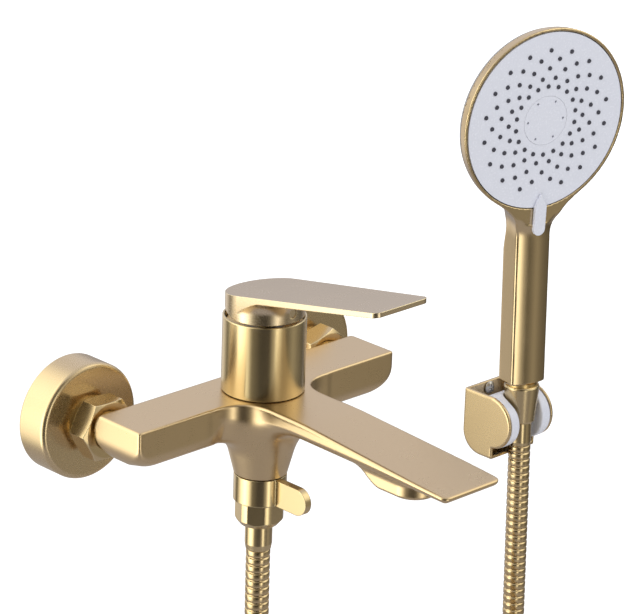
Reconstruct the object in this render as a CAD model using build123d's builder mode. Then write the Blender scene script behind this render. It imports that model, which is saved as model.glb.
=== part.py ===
from build123d import *
from math import atan, cos, degrees, hypot, pi, radians, sin, sqrt, tan
import os

os.makedirs("parts", exist_ok=True)

# Wall mounted bath mixer with a blade spout, a turning diverter under the body,
# a flexible hose and a hand shower in a small wall holder. Millimetres.
# X runs along the wall, +Y goes into the wall, Z is up. The origin lies on the
# wall, midway between the two inlets and level with their union nuts.

# Clearances
screw_gap = 0.05
seat_gap = 0.1
turn_gap = 0.3

# Inlets
inlet_spacing = 150.0
union_offset = 6.0
wall_thread_radius = 10.48
wall_thread_length = 14.0
wall_bore_radius = 6.5
union_foot_radius = 12.0
union_step = 8.0
union_radius = 13.2
union_length = 27.5
union_bore_radius = 9.5
rosette_radius = 30.0
rosette_depth = 18.0
rosette_wall = 1.2
rosette_edge = 2.5
washer_thickness = 1.8
washer_bore_radius = 8.0
nut_flats = 29.0
nut_front = 21.3
nut_length = 11.7
nut_lip = 1.7
nut_turn = {"left": 0.0, "right": 18.0}
flange_thickness = 2.0
flange_radius = 12.0
nipple_radius = 9.5
nipple_bore_radius = 7.1
nipple_depth = 15.7
valve_length = 10.0

# Body
bar_half_length = 86.8
bar_top = 12.5
bar_bottom = -12.5
bar_front = -68.4
bar_back_edge = -37.5
bar_back_bulge = -34.0
bar_back_foot = -44.5
bar_end_corner = 10.0
bar_front_corner = 6.5
bar_top_edge = 1.2
axis_y = -62.0
spout_half_width = 18.0
spout_tip = -208.0
spout_tip_corner = 5.0
spout_bend = -110.0
spout_bend_radius = 260.0
spout_fall = 3.84
spout_under_root = 3.9
spout_under_tip = 2.7
spout_under_corner = 5.5
spout_root_fillet = 15.0
boss_radius = 13.5
boss_bottom = -32.5
boss_waist_radius = 16.6
boss_waist = -20.5
boss_flare_radius = 42.8
boss_back = -42.2

# Aerator
aerator_y = -168.0
aerator_boss_radius = 12.4
aerator_boss_bottom = -7.7
aerator_fairing_start = -134.0
aerator_radius = 11.0
aerator_wall = 1.6
aerator_height = 7.0
aerator_reach = 0.5
aerator_seal_thickness = 0.8
aerator_holes = 6

# Cartridge
neck_radius = 19.6
neck_top = 48.0
cartridge_radius = 17.4
chamber_floor = 6.0
base_seal_thickness = 0.8
base_top = 13.0
disc_thickness = 3.5
fixed_disc_radius = 14.0
moving_disc_radius = 10.5
moving_disc_offset = 2.4
inlet_port = (7.0, 8.0)
inlet_port_radius = 3.0
outlet_port_y = -11.5
outlet_port_radius = 3.0
carrier_height = 4.2
carrier_hole_radius = 3.1
housing_bore_radius = 14.6
housing_shoulder = 41.8
housing_nose_radius = 13.0
housing_nose_top = 46.0
rotor_radius = 14.3
rotor_bottom = 25.0
rotor_shoulder = 38.0
rotor_nose_radius = 10.8
stem_pivot = 40.0
stem_ball_drop = 17.0
stem_ball_radius = 2.8
stem_shank_radius = 2.0
stem_square = 8.0
stem_top = 60.0
pin_radius = 1.6
pin_half_length = 12.0
ring_nut_radius = 18.5
ring_nut_top = 49.0

# Sleeve and lever
sleeve_radius = 21.0
sleeve_wall = 1.0
sleeve_bottom = 12.8
sleeve_top = 51.75
hub_radius = 19.9
hub_bottom = 52.6
hub_straight = 57.0
hub_flare_radius = 29.5
hub_flare_top = 66.8
lever_tip = -156.0
lever_tip_half_width = 18.0
lever_tip_corner = 4.0
lever_axis_top = 65.69
lever_rise = 10.6
lever_root_thickness = 3.3
lever_tip_thickness = 2.55
lever_lift = 15.0
grub_radius = 2.5
grub_height = 57.6

# Diverter
diverter_bore_radius = 10.0
diverter_bore_top = -12.0
outlet_stem_radius = 7.0
outlet_stem_top = -6.2
outlet_bore_radius = 4.8
outlet_thread_radius = 10.48
outlet_thread_end = -54.5
spool_top = -14.0
spool_window = 7.0
collar_bottom = -46.9
tab_thickness = 4.0
tab_centre_y = -90.0
tab_radius = 7.0
collar_screw_radius = 1.5

# Hose fittings
hose_nut_flats = 23.0
hose_nut_top = -47.6
hose_nut_bottom = -60.2
hose_nut_lip = 2.0
hose_nut_turn = 8.0
hose_washer_thickness = 2.0
ferrule_radius = 7.0
ferrule_flange = 1.6
ferrule_end = -74.4

# Hose
hose_radius = 6.25
hose_root_radius = 5.6
hose_bore_radius = 4.5
hose_pitch = 4.2
coil_radius = 72.0
coil_height = -254.0
coil_quarters = 9
coil_lead = 13.0
tie_width = 10.0
tie_inner_radius = 6.6
tie_thickness = 1.6

# Wall holder
holder_x = 235.3
holder_width = 36.5
holder_wall = 2.0
holder_depth = 36.2
holder_top = -62.0
holder_bottom = -99.0
holder_foot = -84.0
pivot_y = -27.0
pivot_z = -78.0
clip_radius = 15.0
clip_side_gap = 0.3
clip_pin_radius = 2.4
clip_pin_reach = 1.4
clip_slot = 14.0
clip_slot_mouth = 22.0
screw_spacing = 14.0
screw_first = -66.0
screw_radius = 1.95
screw_head_radius = 3.8
screw_length = 28.0

# Hand shower
shower_lean = 1.5
shower_turn = 13.0
cone_length = 22.0
cone_top_radius = 10.0
cone_bottom_radius = 8.0
cone_thread_radius = 8.33
cone_lip = 5.0
cone_washer = 2.0
cone_ferrule_radius = 6.3
cone_ferrule_flange = 1.6
cone_ferrule_reach = 14.0
shower_neck_radius = 8.9
shower_neck = 2.0
insert_depth = 16.0
handle_width = 22.4
handle_front = 6.0
handle_back = 7.0
handle_bulge_front = 2.5
handle_bulge_back = 3.0
head_height = 178.0
head_forward = 13.5
head_tilt = 4.0
head_radius = 52.4
head_side = 8.0
head_depth = 19.5
head_rim = 1.9
handle_top_back = 1.5
face_radius = 50.0
face_sink = 0.3
face_thickness = 3.0
mat_thickness = 1.6
nozzle_radius = 1.15
nozzle_rise = 0.5
nozzle_rings = [40.0, 35.0, 29.8, 24.3, 19.5]
nozzles_per_ring = 18
centre_radius = 14.0
centre_jets = 6
centre_jet_ring = 11.5
chamber_thickness = 3.5
tab_lift = 0.6
selector_thickness = 1.8
selector_inner = 42.0
selector_outer = 66.0
selector_width = 7.4


def wall_plane(x, y, z):
    """A sketch plane parallel to the wall, facing the room."""
    return Plane(origin=(x, y, z), x_dir=(1, 0, 0), z_dir=(0, -1, 0))


# Wall unions, with the offset stub that screws into the wall, their rosettes,
# hexagon nuts, strainer washers, body nipples and check valves
inlet_x = {"left": -inlet_spacing / 2, "right": inlet_spacing / 2}
flange_back = -union_length - washer_thickness
lip_back = flange_back - flange_thickness
nut_back = -nut_front - nut_length
nipple_end = lip_back - nipple_depth

for side, x in inlet_x.items():
    with BuildPart() as union:
        with BuildSketch(wall_plane(x, 0, -union_offset)):
            Circle(union_foot_radius)
        with BuildSketch(wall_plane(x, -union_step, 0)):
            Circle(union_radius)
        loft()
        with BuildSketch(wall_plane(x, -union_step, 0)):
            Circle(union_radius)
        extrude(amount=union_length - union_step)
        with BuildSketch(wall_plane(x, 0, -union_offset)):
            Circle(wall_thread_radius)
        extrude(amount=-wall_thread_length)
        with BuildSketch(wall_plane(x, wall_thread_length, -union_offset)):
            Circle(wall_bore_radius)
        extrude(amount=wall_thread_length + union_step - 0.5, mode=Mode.SUBTRACT)
        with BuildSketch(wall_plane(x, -union_length, 0)):
            Circle(union_bore_radius)
        extrude(amount=-(union_length - union_step + 1.0), mode=Mode.SUBTRACT)
    union.part.label = f"union_{side}"
    export_step(union.part, f"parts/union_{side}.step")

    # A drawn cup with a rolled front edge, screwed on the union's thread
    with BuildPart() as rosette:
        with BuildSketch(Plane(origin=(x, 0, 0))) as cup:
            with BuildLine():
                Polyline(
                    (rosette_radius, 0),
                    (rosette_radius, -rosette_depth),
                    (union_radius + screw_gap, -rosette_depth),
                    (union_radius + screw_gap, -rosette_depth + rosette_wall),
                    (rosette_radius - rosette_wall, -rosette_depth + rosette_wall),
                    (rosette_radius - rosette_wall, 0),
                    close=True,
                )
            make_face()
            outer = cup.vertices().filter_by(lambda v: v.X > rosette_radius - 0.01)
            fillet(outer.sort_by(Axis.Y)[0], rosette_edge)
            inner = cup.vertices().filter_by(
                lambda v: abs(v.X - rosette_radius + rosette_wall) < 0.01
            )
            fillet(inner.sort_by(Axis.Y)[0], rosette_edge - rosette_wall)
        revolve(axis=Axis((x, 0, 0), (0, 1, 0)))
    rosette.part.label = f"rosette_{side}"
    export_step(rosette.part, f"parts/rosette_{side}.step")

    with BuildPart() as union_nut:
        with BuildSketch(wall_plane(x, -nut_front, 0)):
            RegularPolygon(nut_flats / 2, 6, major_radius=False, rotation=nut_turn[side])
        extrude(amount=nut_length)
        with BuildSketch(Plane(origin=(x, 0, 0))):
            crown = nut_flats / 2 / cos(pi / 6)
            with BuildLine():
                Polyline(
                    (0, -nut_front),
                    (nut_flats / 2 - 0.3, -nut_front),
                    (crown + 0.5, -nut_front - 1.3),
                    (crown + 0.5, nut_back + 1.3),
                    (nut_flats / 2 - 0.3, nut_back),
                    (0, nut_back),
                    close=True,
                )
            make_face()
        revolve(axis=Axis((x, 0, 0), (0, 1, 0)), mode=Mode.INTERSECT)
        with BuildSketch(wall_plane(x, -nut_front, 0)):
            Circle(union_radius + screw_gap)
        extrude(amount=nut_length - nut_lip, mode=Mode.SUBTRACT)
        with BuildSketch(wall_plane(x, -nut_front, 0)):
            Circle(nipple_radius + turn_gap)
        extrude(amount=nut_length, mode=Mode.SUBTRACT)
    union_nut.part.label = f"union_nut_{side}"
    export_step(union_nut.part, f"parts/union_nut_{side}.step")

    # Rubber ring with the strainer disc moulded in
    with BuildPart() as washer:
        with BuildSketch(wall_plane(x, -union_length, 0)):
            Circle(flange_radius)
            Circle(washer_bore_radius, mode=Mode.SUBTRACT)
        extrude(amount=washer_thickness)
        with BuildSketch(wall_plane(x, -union_length, 0)):
            Circle(washer_bore_radius)
            with PolarLocations(washer_bore_radius * 0.6, 6):
                Circle(1.6, mode=Mode.SUBTRACT)
            Circle(1.6, mode=Mode.SUBTRACT)
        extrude(amount=washer_thickness / 3)
    washer.part.label = f"union_washer_{side}"
    export_step(washer.part, f"parts/union_washer_{side}.step")

    with BuildPart() as nipple:
        with BuildSketch(wall_plane(x, flange_back, 0)):
            Circle(flange_radius)
        extrude(amount=flange_thickness)
        with BuildSketch(wall_plane(x, lip_back, 0)):
            Circle(nipple_radius)
        extrude(amount=nipple_depth)
        with BuildSketch(wall_plane(x, flange_back, 0)):
            Circle(nipple_bore_radius)
        extrude(amount=flange_thickness + nipple_depth, mode=Mode.SUBTRACT)
    nipple.part.label = f"nipple_{side}"
    export_step(nipple.part, f"parts/nipple_{side}.step")

    with BuildPart() as check_valve:
        with BuildSketch(wall_plane(x, lip_back - 1.0, 0)):
            Circle(nipple_bore_radius - seat_gap)
            Circle(nipple_bore_radius - 2.0, mode=Mode.SUBTRACT)
        extrude(amount=valve_length)
        with BuildSketch(wall_plane(x, lip_back - valve_length / 2, 0)):
            Circle(nipple_bore_radius - 1.5)
        extrude(amount=2.0)
    check_valve.part.label = f"check_valve_{side}"
    export_step(check_valve.part, f"parts/check_valve_{side}.step")

# Bar of the body: a D section, flat on top, bulging towards the wall, with the
# lower corners of its ends rounded
with BuildPart() as bar:
    with BuildSketch(Plane.YZ.offset(-bar_half_length)) as bar_section:
        with BuildLine():
            back = ThreePointArc(
                (bar_back_edge, bar_top), (bar_back_bulge, 4.0), (bar_back_foot, bar_bottom)
            )
            Polyline(back @ 1, (bar_front, bar_bottom), (bar_front, bar_top), back @ 0)
        make_face()
        front = bar_section.vertices().group_by(Axis.X)[0].sort_by(Axis.Y)
        fillet(front[0], bar_front_corner)
        front = bar_section.vertices().group_by(Axis.X)[0].sort_by(Axis.Y)
        fillet(front[-1], bar_top_edge)
    extrude(amount=2 * bar_half_length)
    with BuildSketch(wall_plane(0, bar_front - 5, 0)) as bar_front_view:
        with BuildLine():
            Polyline(
                (-bar_half_length, bar_bottom),
                (bar_half_length, bar_bottom),
                (bar_half_length, bar_top + 1),
                (-bar_half_length, bar_top + 1),
                close=True,
            )
        make_face()
        fillet(bar_front_view.vertices().group_by(Axis.Y)[0], bar_end_corner)
    extrude(amount=-60, mode=Mode.INTERSECT)

# Body: spout, flared lower boss, bar, aerator boss, cartridge neck and waterways
spout_slope = (spout_under_root - spout_under_tip) / (bar_front - spout_tip)
spout_dir = Vector(0, -1, -spout_slope).normalized()
spout_drop = (spout_bend - spout_tip + 10) * tan(radians(spout_fall))
nipple_floor = nipple_end - 2.5
with BuildPart() as body:
    # blade of the spout, flat sided with a rounded underside
    with BuildSketch(Plane(origin=(0, bar_front + 8, spout_under_root), x_dir=(1, 0, 0),
                           z_dir=spout_dir)) as blade_section:
        with BuildLine():
            Polyline(
                (-spout_half_width, 0),
                (spout_half_width, 0),
                (spout_half_width, 30),
                (-spout_half_width, 30),
                close=True,
            )
        make_face()
        fillet(blade_section.vertices().group_by(Axis.Y)[0], spout_under_corner)
    extrude(amount=160)
    # lower boss, flaring up into the underside of the spout and the bar
    with BuildSketch(wall_plane(0, axis_y, 0)):
        with BuildLine():
            Line((0, boss_bottom), (boss_radius, boss_bottom))
            Line((boss_radius, boss_bottom), (boss_waist_radius, boss_waist))
            flare = TangentArc(
                (boss_waist_radius, boss_waist),
                (boss_flare_radius, spout_under_root),
                tangent=(boss_waist_radius - boss_radius, boss_waist - boss_bottom),
            )
            Polyline(flare @ 1, (boss_flare_radius, bar_top + 5), (0, bar_top + 5), (0, boss_bottom))
        make_face()
    revolve(axis=Axis((0, axis_y, 0), (0, 0, 1)))
    # plan outline, with the two hollow corners between bar and spout
    with BuildSketch(Plane.XY.offset(boss_bottom - 5)) as plan:
        corner = spout_half_width + spout_root_fillet
        with BuildLine():
            Polyline(
                (-corner, boss_back),
                (-corner, bar_front),
                (-spout_half_width, bar_front),
                (-spout_half_width, spout_tip),
                (spout_half_width, spout_tip),
                (spout_half_width, bar_front),
                (corner, bar_front),
                (corner, boss_back),
                close=True,
            )
        make_face()
        inside = plan.vertices().filter_by(
            lambda v: abs(v.Y - bar_front) < 0.01 and abs(v.X) < corner - 0.01
        )
        fillet(inside, spout_root_fillet - 0.02)
        fillet(plan.vertices().group_by(Axis.Y)[0], spout_tip_corner)
    extrude(amount=bar_top - boss_bottom + 20, mode=Mode.INTERSECT)
    # top line: level to the bend, then falling gently to the tip
    with BuildSketch(Plane.YZ) as top_line:
        with BuildLine():
            level = Polyline(
                (boss_back + 5, boss_bottom),
                (boss_back + 5, bar_top),
                (spout_bend, bar_top),
                (spout_tip - 10, bar_top - spout_drop),
                (spout_tip - 10, boss_bottom),
                close=True,
            )
        make_face()
        bend = top_line.vertices().filter_by(lambda v: abs(v.X - spout_bend) < 0.01)
        fillet(bend, spout_bend_radius)
    extrude(amount=60, both=True, mode=Mode.INTERSECT)
    add(bar.part)
    # aerator boss with its fairing
    with BuildSketch(Plane.XY.offset(aerator_boss_bottom)):
        with Locations((0, aerator_y)):
            Circle(aerator_boss_radius)
    extrude(amount=spout_under_root - aerator_boss_bottom)
    with BuildSketch(Plane.YZ) as fairing:
        with BuildLine():
            Polyline(
                (aerator_fairing_start, spout_under_root),
                (aerator_y + aerator_boss_radius + 3.0, aerator_boss_bottom + 3.0),
                (aerator_y, aerator_boss_bottom + 3.0),
                (aerator_y, spout_under_root + 1),
                (aerator_fairing_start, spout_under_root + 1),
                close=True,
            )
        make_face()
    extrude(amount=aerator_boss_radius - 0.6, both=True)
    # neck for the cartridge
    with BuildSketch(Plane.XY.offset(bar_top - 1)):
        with Locations((0, axis_y)):
            Circle(neck_radius)
    extrude(amount=neck_top - bar_top + 1)
    with BuildSketch(Plane.XY.offset(chamber_floor)):
        with Locations((0, axis_y)):
            Circle(cartridge_radius + seat_gap)
    extrude(amount=neck_top - chamber_floor, mode=Mode.SUBTRACT)
    with BuildSketch(Plane.XY.offset(housing_shoulder)):
        with Locations((0, axis_y)):
            Circle(ring_nut_radius + screw_gap)
    extrude(amount=neck_top - housing_shoulder, mode=Mode.SUBTRACT)
    # diverter bore and the thread over it for the outlet stem
    with BuildSketch(Plane.XY.offset(boss_bottom)):
        with Locations((0, axis_y)):
            Circle(diverter_bore_radius)
    extrude(amount=diverter_bore_top - boss_bottom, mode=Mode.SUBTRACT)
    with BuildSketch(Plane.XY.offset(diverter_bore_top)):
        with Locations((0, axis_y)):
            Circle(outlet_stem_radius + screw_gap)
    extrude(amount=outlet_stem_top - diverter_bore_top + seat_gap, mode=Mode.SUBTRACT)
    # inlet sockets and the passages from them to the cartridge floor
    for x in inlet_x.values():
        with BuildSketch(wall_plane(x, nipple_floor, 0)):
            Circle(nipple_radius + screw_gap)
        extrude(amount=nipple_floor + 20, mode=Mode.SUBTRACT)
        way = x / abs(x)
        with BuildSketch(Plane.YZ.offset(x)):
            with Locations((nipple_floor + 1.5, -2.0)):
                Circle(inlet_port_radius)
        extrude(amount=-way * (abs(x) - inlet_port[0] + inlet_port_radius), mode=Mode.SUBTRACT)
        with BuildSketch(Plane.XY.offset(-2.0)):
            with Locations((way * inlet_port[0], axis_y + inlet_port[1])):
                Circle(inlet_port_radius)
        extrude(amount=chamber_floor + 2.0, mode=Mode.SUBTRACT)
    # outlet passage down to the diverter, then on to the aerator
    with BuildSketch(Plane.XY.offset(diverter_bore_top - 4)):
        with Locations((0, axis_y + outlet_port_y)):
            Circle(outlet_port_radius)
    extrude(amount=chamber_floor - diverter_bore_top + 4, mode=Mode.SUBTRACT)
    with BuildSketch(Plane(origin=(0, -69, -15), x_dir=(1, 0, 0), z_dir=(0, -22, 20))):
        Circle(2.2)
    extrude(amount=hypot(22, 20), mode=Mode.SUBTRACT)
    with BuildSketch(wall_plane(0, -88, 6.0)):
        Rectangle(14, 2.2)
    extrude(amount=-88 - aerator_y, mode=Mode.SUBTRACT)
    with BuildSketch(Plane.XY.offset(aerator_boss_bottom)):
        with Locations((0, aerator_y)):
            Circle(aerator_radius + screw_gap)
    extrude(amount=aerator_height + aerator_seal_thickness - aerator_reach, mode=Mode.SUBTRACT)
    with BuildSketch(Plane.XY.offset(aerator_boss_bottom)):
        with Locations((0, aerator_y)):
            Circle(7.0)
    extrude(amount=6.5 - aerator_boss_bottom, mode=Mode.SUBTRACT)
body.part.label = "body"
export_step(body.part, "parts/body.step")

# Aerator: a screwed ring, the mesh insert in it and a flat seal above
aerator_bottom = aerator_boss_bottom - aerator_reach
with BuildPart() as aerator_housing:
    with BuildSketch(Plane.XY.offset(aerator_bottom)):
        with Locations((0, aerator_y)):
            Circle(aerator_radius)
            Circle(aerator_radius - aerator_wall, mode=Mode.SUBTRACT)
    extrude(amount=aerator_height)
    chamfer(aerator_housing.faces().sort_by(Axis.Z)[0].outer_wire().edges(), 0.4)
aerator_housing.part.label = "aerator_housing"
export_step(aerator_housing.part, "parts/aerator_housing.step")

with BuildPart() as aerator_insert:
    with BuildSketch(Plane.XY.offset(aerator_bottom + 0.6)):
        with Locations((0, aerator_y)):
            Circle(aerator_radius - aerator_wall - seat_gap)
            with PolarLocations(3.0, aerator_holes):
                Circle(1.1, mode=Mode.SUBTRACT)
            with PolarLocations(6.4, 2 * aerator_holes):
                Circle(1.1, mode=Mode.SUBTRACT)
            Circle(1.1, mode=Mode.SUBTRACT)
    extrude(amount=aerator_height - 0.8)
aerator_insert.part.label = "aerator_insert"
export_step(aerator_insert.part, "parts/aerator_insert.step")

with BuildPart() as aerator_seal:
    with BuildSketch(Plane.XY.offset(aerator_bottom + aerator_height)):
        with Locations((0, aerator_y)):
            Circle(aerator_radius - 0.2)
            Circle(aerator_radius - 2.8, mode=Mode.SUBTRACT)
    extrude(amount=aerator_seal_thickness)
aerator_seal.part.label = "aerator_seal"
export_step(aerator_seal.part, "parts/aerator_seal.step")

# Ceramic cartridge, from its rubber seal on the chamber floor to the stem
seal_top = chamber_floor + base_seal_thickness
disc_top = base_top + disc_thickness
carrier_bottom = disc_top + disc_thickness
ball_height = stem_pivot - stem_ball_drop
ports = [(inlet_port[0], axis_y + inlet_port[1]), (-inlet_port[0], axis_y + inlet_port[1]),
         (0, axis_y + outlet_port_y)]

with BuildPart() as base_seal:
    with BuildSketch(Plane.XY.offset(chamber_floor)):
        with Locations((0, axis_y)):
            Circle(cartridge_radius - 1.5)
        with Locations(*ports):
            Circle(inlet_port_radius, mode=Mode.SUBTRACT)
    extrude(amount=base_seal_thickness)
base_seal.part.label = "base_seal"
export_step(base_seal.part, "parts/base_seal.step")

with BuildPart() as cartridge_base:
    with BuildSketch(Plane.XY.offset(seal_top)):
        with Locations((0, axis_y)):
            Circle(cartridge_radius)
        with Locations(*ports):
            Circle(inlet_port_radius, mode=Mode.SUBTRACT)
    extrude(amount=base_top - seal_top)
cartridge_base.part.label = "cartridge_base"
export_step(cartridge_base.part, "parts/cartridge_base.step")

with BuildPart() as fixed_disc:
    with BuildSketch(Plane.XY.offset(base_top)):
        with Locations((0, axis_y)):
            Circle(fixed_disc_radius)
        with Locations(ports[0], ports[1]):
            Circle(inlet_port_radius, mode=Mode.SUBTRACT)
        with Locations((0, axis_y - 8)):
            SlotOverall(9, 4, mode=Mode.SUBTRACT)
    extrude(amount=disc_thickness)
fixed_disc.part.label = "fixed_disc"
export_step(fixed_disc.part, "parts/fixed_disc.step")

# The upper disc has the mixing pocket in its lower face
with BuildPart() as moving_disc:
    with BuildSketch(Plane.XY.offset(disc_top)):
        with Locations((0, axis_y + moving_disc_offset)):
            Circle(moving_disc_radius)
    extrude(amount=disc_thickness)
    with BuildSketch(Plane.XY.offset(disc_top)):
        with Locations((0, axis_y + moving_disc_offset - 3)):
            SlotOverall(13, 6)
    extrude(amount=disc_thickness / 2, mode=Mode.SUBTRACT)
moving_disc.part.label = "moving_disc"
export_step(moving_disc.part, "parts/moving_disc.step")

with BuildPart() as disc_carrier:
    with BuildSketch(Plane.XY.offset(carrier_bottom)):
        with Locations((0, axis_y + moving_disc_offset)):
            Circle(moving_disc_radius)
    extrude(amount=carrier_height)
    with BuildSketch(Plane.XY.offset(carrier_bottom - 1)):
        with Locations((0, axis_y)):
            Circle(carrier_hole_radius)
    extrude(amount=carrier_height + 1, mode=Mode.SUBTRACT)
disc_carrier.part.label = "disc_carrier"
export_step(disc_carrier.part, "parts/disc_carrier.step")

with BuildPart() as cartridge_housing:
    with BuildSketch(wall_plane(0, axis_y, 0)):
        with BuildLine():
            Polyline(
                (housing_bore_radius, base_top),
                (cartridge_radius, base_top),
                (cartridge_radius, housing_shoulder),
                (housing_nose_radius, housing_shoulder),
                (housing_nose_radius, housing_nose_top),
                (rotor_nose_radius + turn_gap, housing_nose_top),
                (rotor_nose_radius + turn_gap, rotor_shoulder + turn_gap),
                (housing_bore_radius, rotor_shoulder + turn_gap),
                close=True,
            )
        make_face()
    revolve(axis=Axis((0, axis_y, 0), (0, 0, 1)))
cartridge_housing.part.label = "cartridge_housing"
export_step(cartridge_housing.part, "parts/cartridge_housing.step")

# The rotor carries the stem on a cross pin and lets it rock in one plane
with BuildPart() as rotor:
    with BuildSketch(Plane.XY.offset(rotor_bottom)):
        with Locations((0, axis_y)):
            Circle(rotor_radius)
    extrude(amount=rotor_shoulder - rotor_bottom)
    with BuildSketch(Plane.XY.offset(rotor_shoulder)):
        with Locations((0, axis_y)):
            Circle(rotor_nose_radius)
    extrude(amount=housing_nose_top - rotor_shoulder)
    slot_low = stem_square / 2 + (stem_pivot - rotor_bottom) * sin(radians(lever_lift)) + turn_gap
    slot_high = stem_square / 2 + (housing_nose_top - stem_pivot + 2) * sin(radians(lever_lift))
    with BuildSketch(Plane.YZ):
        with BuildLine():
            Polyline(
                (axis_y - slot_low - turn_gap, rotor_bottom - 1),
                (axis_y - stem_square / 2 - turn_gap, stem_pivot),
                (axis_y - stem_square / 2 - turn_gap, housing_nose_top + 1),
                (axis_y + slot_high + 2 * turn_gap, housing_nose_top + 1),
                (axis_y + stem_square / 2 + turn_gap, stem_pivot),
                (axis_y + stem_square / 2 + turn_gap, rotor_bottom - 1),
                close=True,
            )
        make_face()
    extrude(amount=stem_square / 2 + turn_gap, both=True, mode=Mode.SUBTRACT)
    with BuildSketch(Plane.YZ):
        with Locations((axis_y, stem_pivot)):
            Circle(pin_radius + screw_gap)
    extrude(amount=rotor_radius, both=True, mode=Mode.SUBTRACT)
rotor.part.label = "rotor"
export_step(rotor.part, "parts/rotor.step")

with BuildPart() as stem:
    with BuildSketch(wall_plane(0, axis_y, 0)):
        with BuildLine():
            arc_start = (stem_shank_radius, ball_height + sqrt(stem_ball_radius**2 - stem_shank_radius**2))
            ball = ThreePointArc(
                (0, ball_height - stem_ball_radius), (stem_ball_radius, ball_height), arc_start
            )
            Polyline(arc_start, (stem_shank_radius, 31), (0, 31), (0, ball_height - stem_ball_radius))
        make_face()
    revolve(axis=Axis((0, axis_y, 0), (0, 0, 1)))
    with BuildSketch(Plane.XY.offset(30)):
        with Locations((0, axis_y)):
            Rectangle(stem_square, stem_square)
    extrude(amount=stem_top - 30)
    chamfer(stem.faces().sort_by(Axis.Z)[-1].edges(), 0.6)
    with BuildSketch(Plane.YZ):
        with Locations((axis_y, stem_pivot)):
            Circle(pin_radius + 0.01)
    extrude(amount=stem_square, both=True, mode=Mode.SUBTRACT)
stem.part.label = "stem"
export_step(stem.part, "parts/stem.step")

with BuildPart() as stem_pin:
    with BuildSketch(Plane.YZ):
        with Locations((axis_y, stem_pivot)):
            Circle(pin_radius)
    extrude(amount=min(pin_half_length, rotor_nose_radius - 0.4), both=True)
stem_pin.part.label = "stem_pin"
export_step(stem_pin.part, "parts/stem_pin.step")

with BuildPart() as cartridge_nut:
    with BuildSketch(Plane.XY.offset(housing_shoulder)):
        with Locations((0, axis_y)):
            Circle(ring_nut_radius)
            Circle(housing_nose_radius + seat_gap, mode=Mode.SUBTRACT)
    extrude(amount=ring_nut_top - housing_shoulder)
    with BuildSketch(Plane.XY.offset(ring_nut_top)):
        with Locations((0, axis_y)):
            with PolarLocations(ring_nut_radius, 4):
                Rectangle(4.0, 3.0, mode=Mode.ADD)
    extrude(amount=-2.0, mode=Mode.SUBTRACT)
cartridge_nut.part.label = "cartridge_nut"
export_step(cartridge_nut.part, "parts/cartridge_nut.step")

# Sleeve over the neck and the cartridge nut
with BuildPart() as sleeve:
    with BuildSketch(Plane.XY.offset(sleeve_bottom)):
        with Locations((0, axis_y)):
            Circle(sleeve_radius)
            Circle(sleeve_radius - sleeve_wall, mode=Mode.SUBTRACT)
    extrude(amount=sleeve_top - sleeve_bottom)
    chamfer(sleeve.edges().filter_by(GeomType.CIRCLE).sort_by(SortBy.RADIUS)[-2:], 0.35)
sleeve.part.label = "sleeve"
export_step(sleeve.part, "parts/sleeve.step")

# Lever: a round hub that flares into a thin rising blade. The hub's underside
# is cut back behind the pivot, so that the lever can lift over the sleeve.
rise = tan(radians(lever_rise))
blade_start = axis_y + hub_radius + 3
blade_end = lever_tip - 3


def lever_top(y):
    """Height of the lever's flat top at a distance y from the wall."""
    return lever_axis_top + (axis_y - y) * rise


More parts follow.
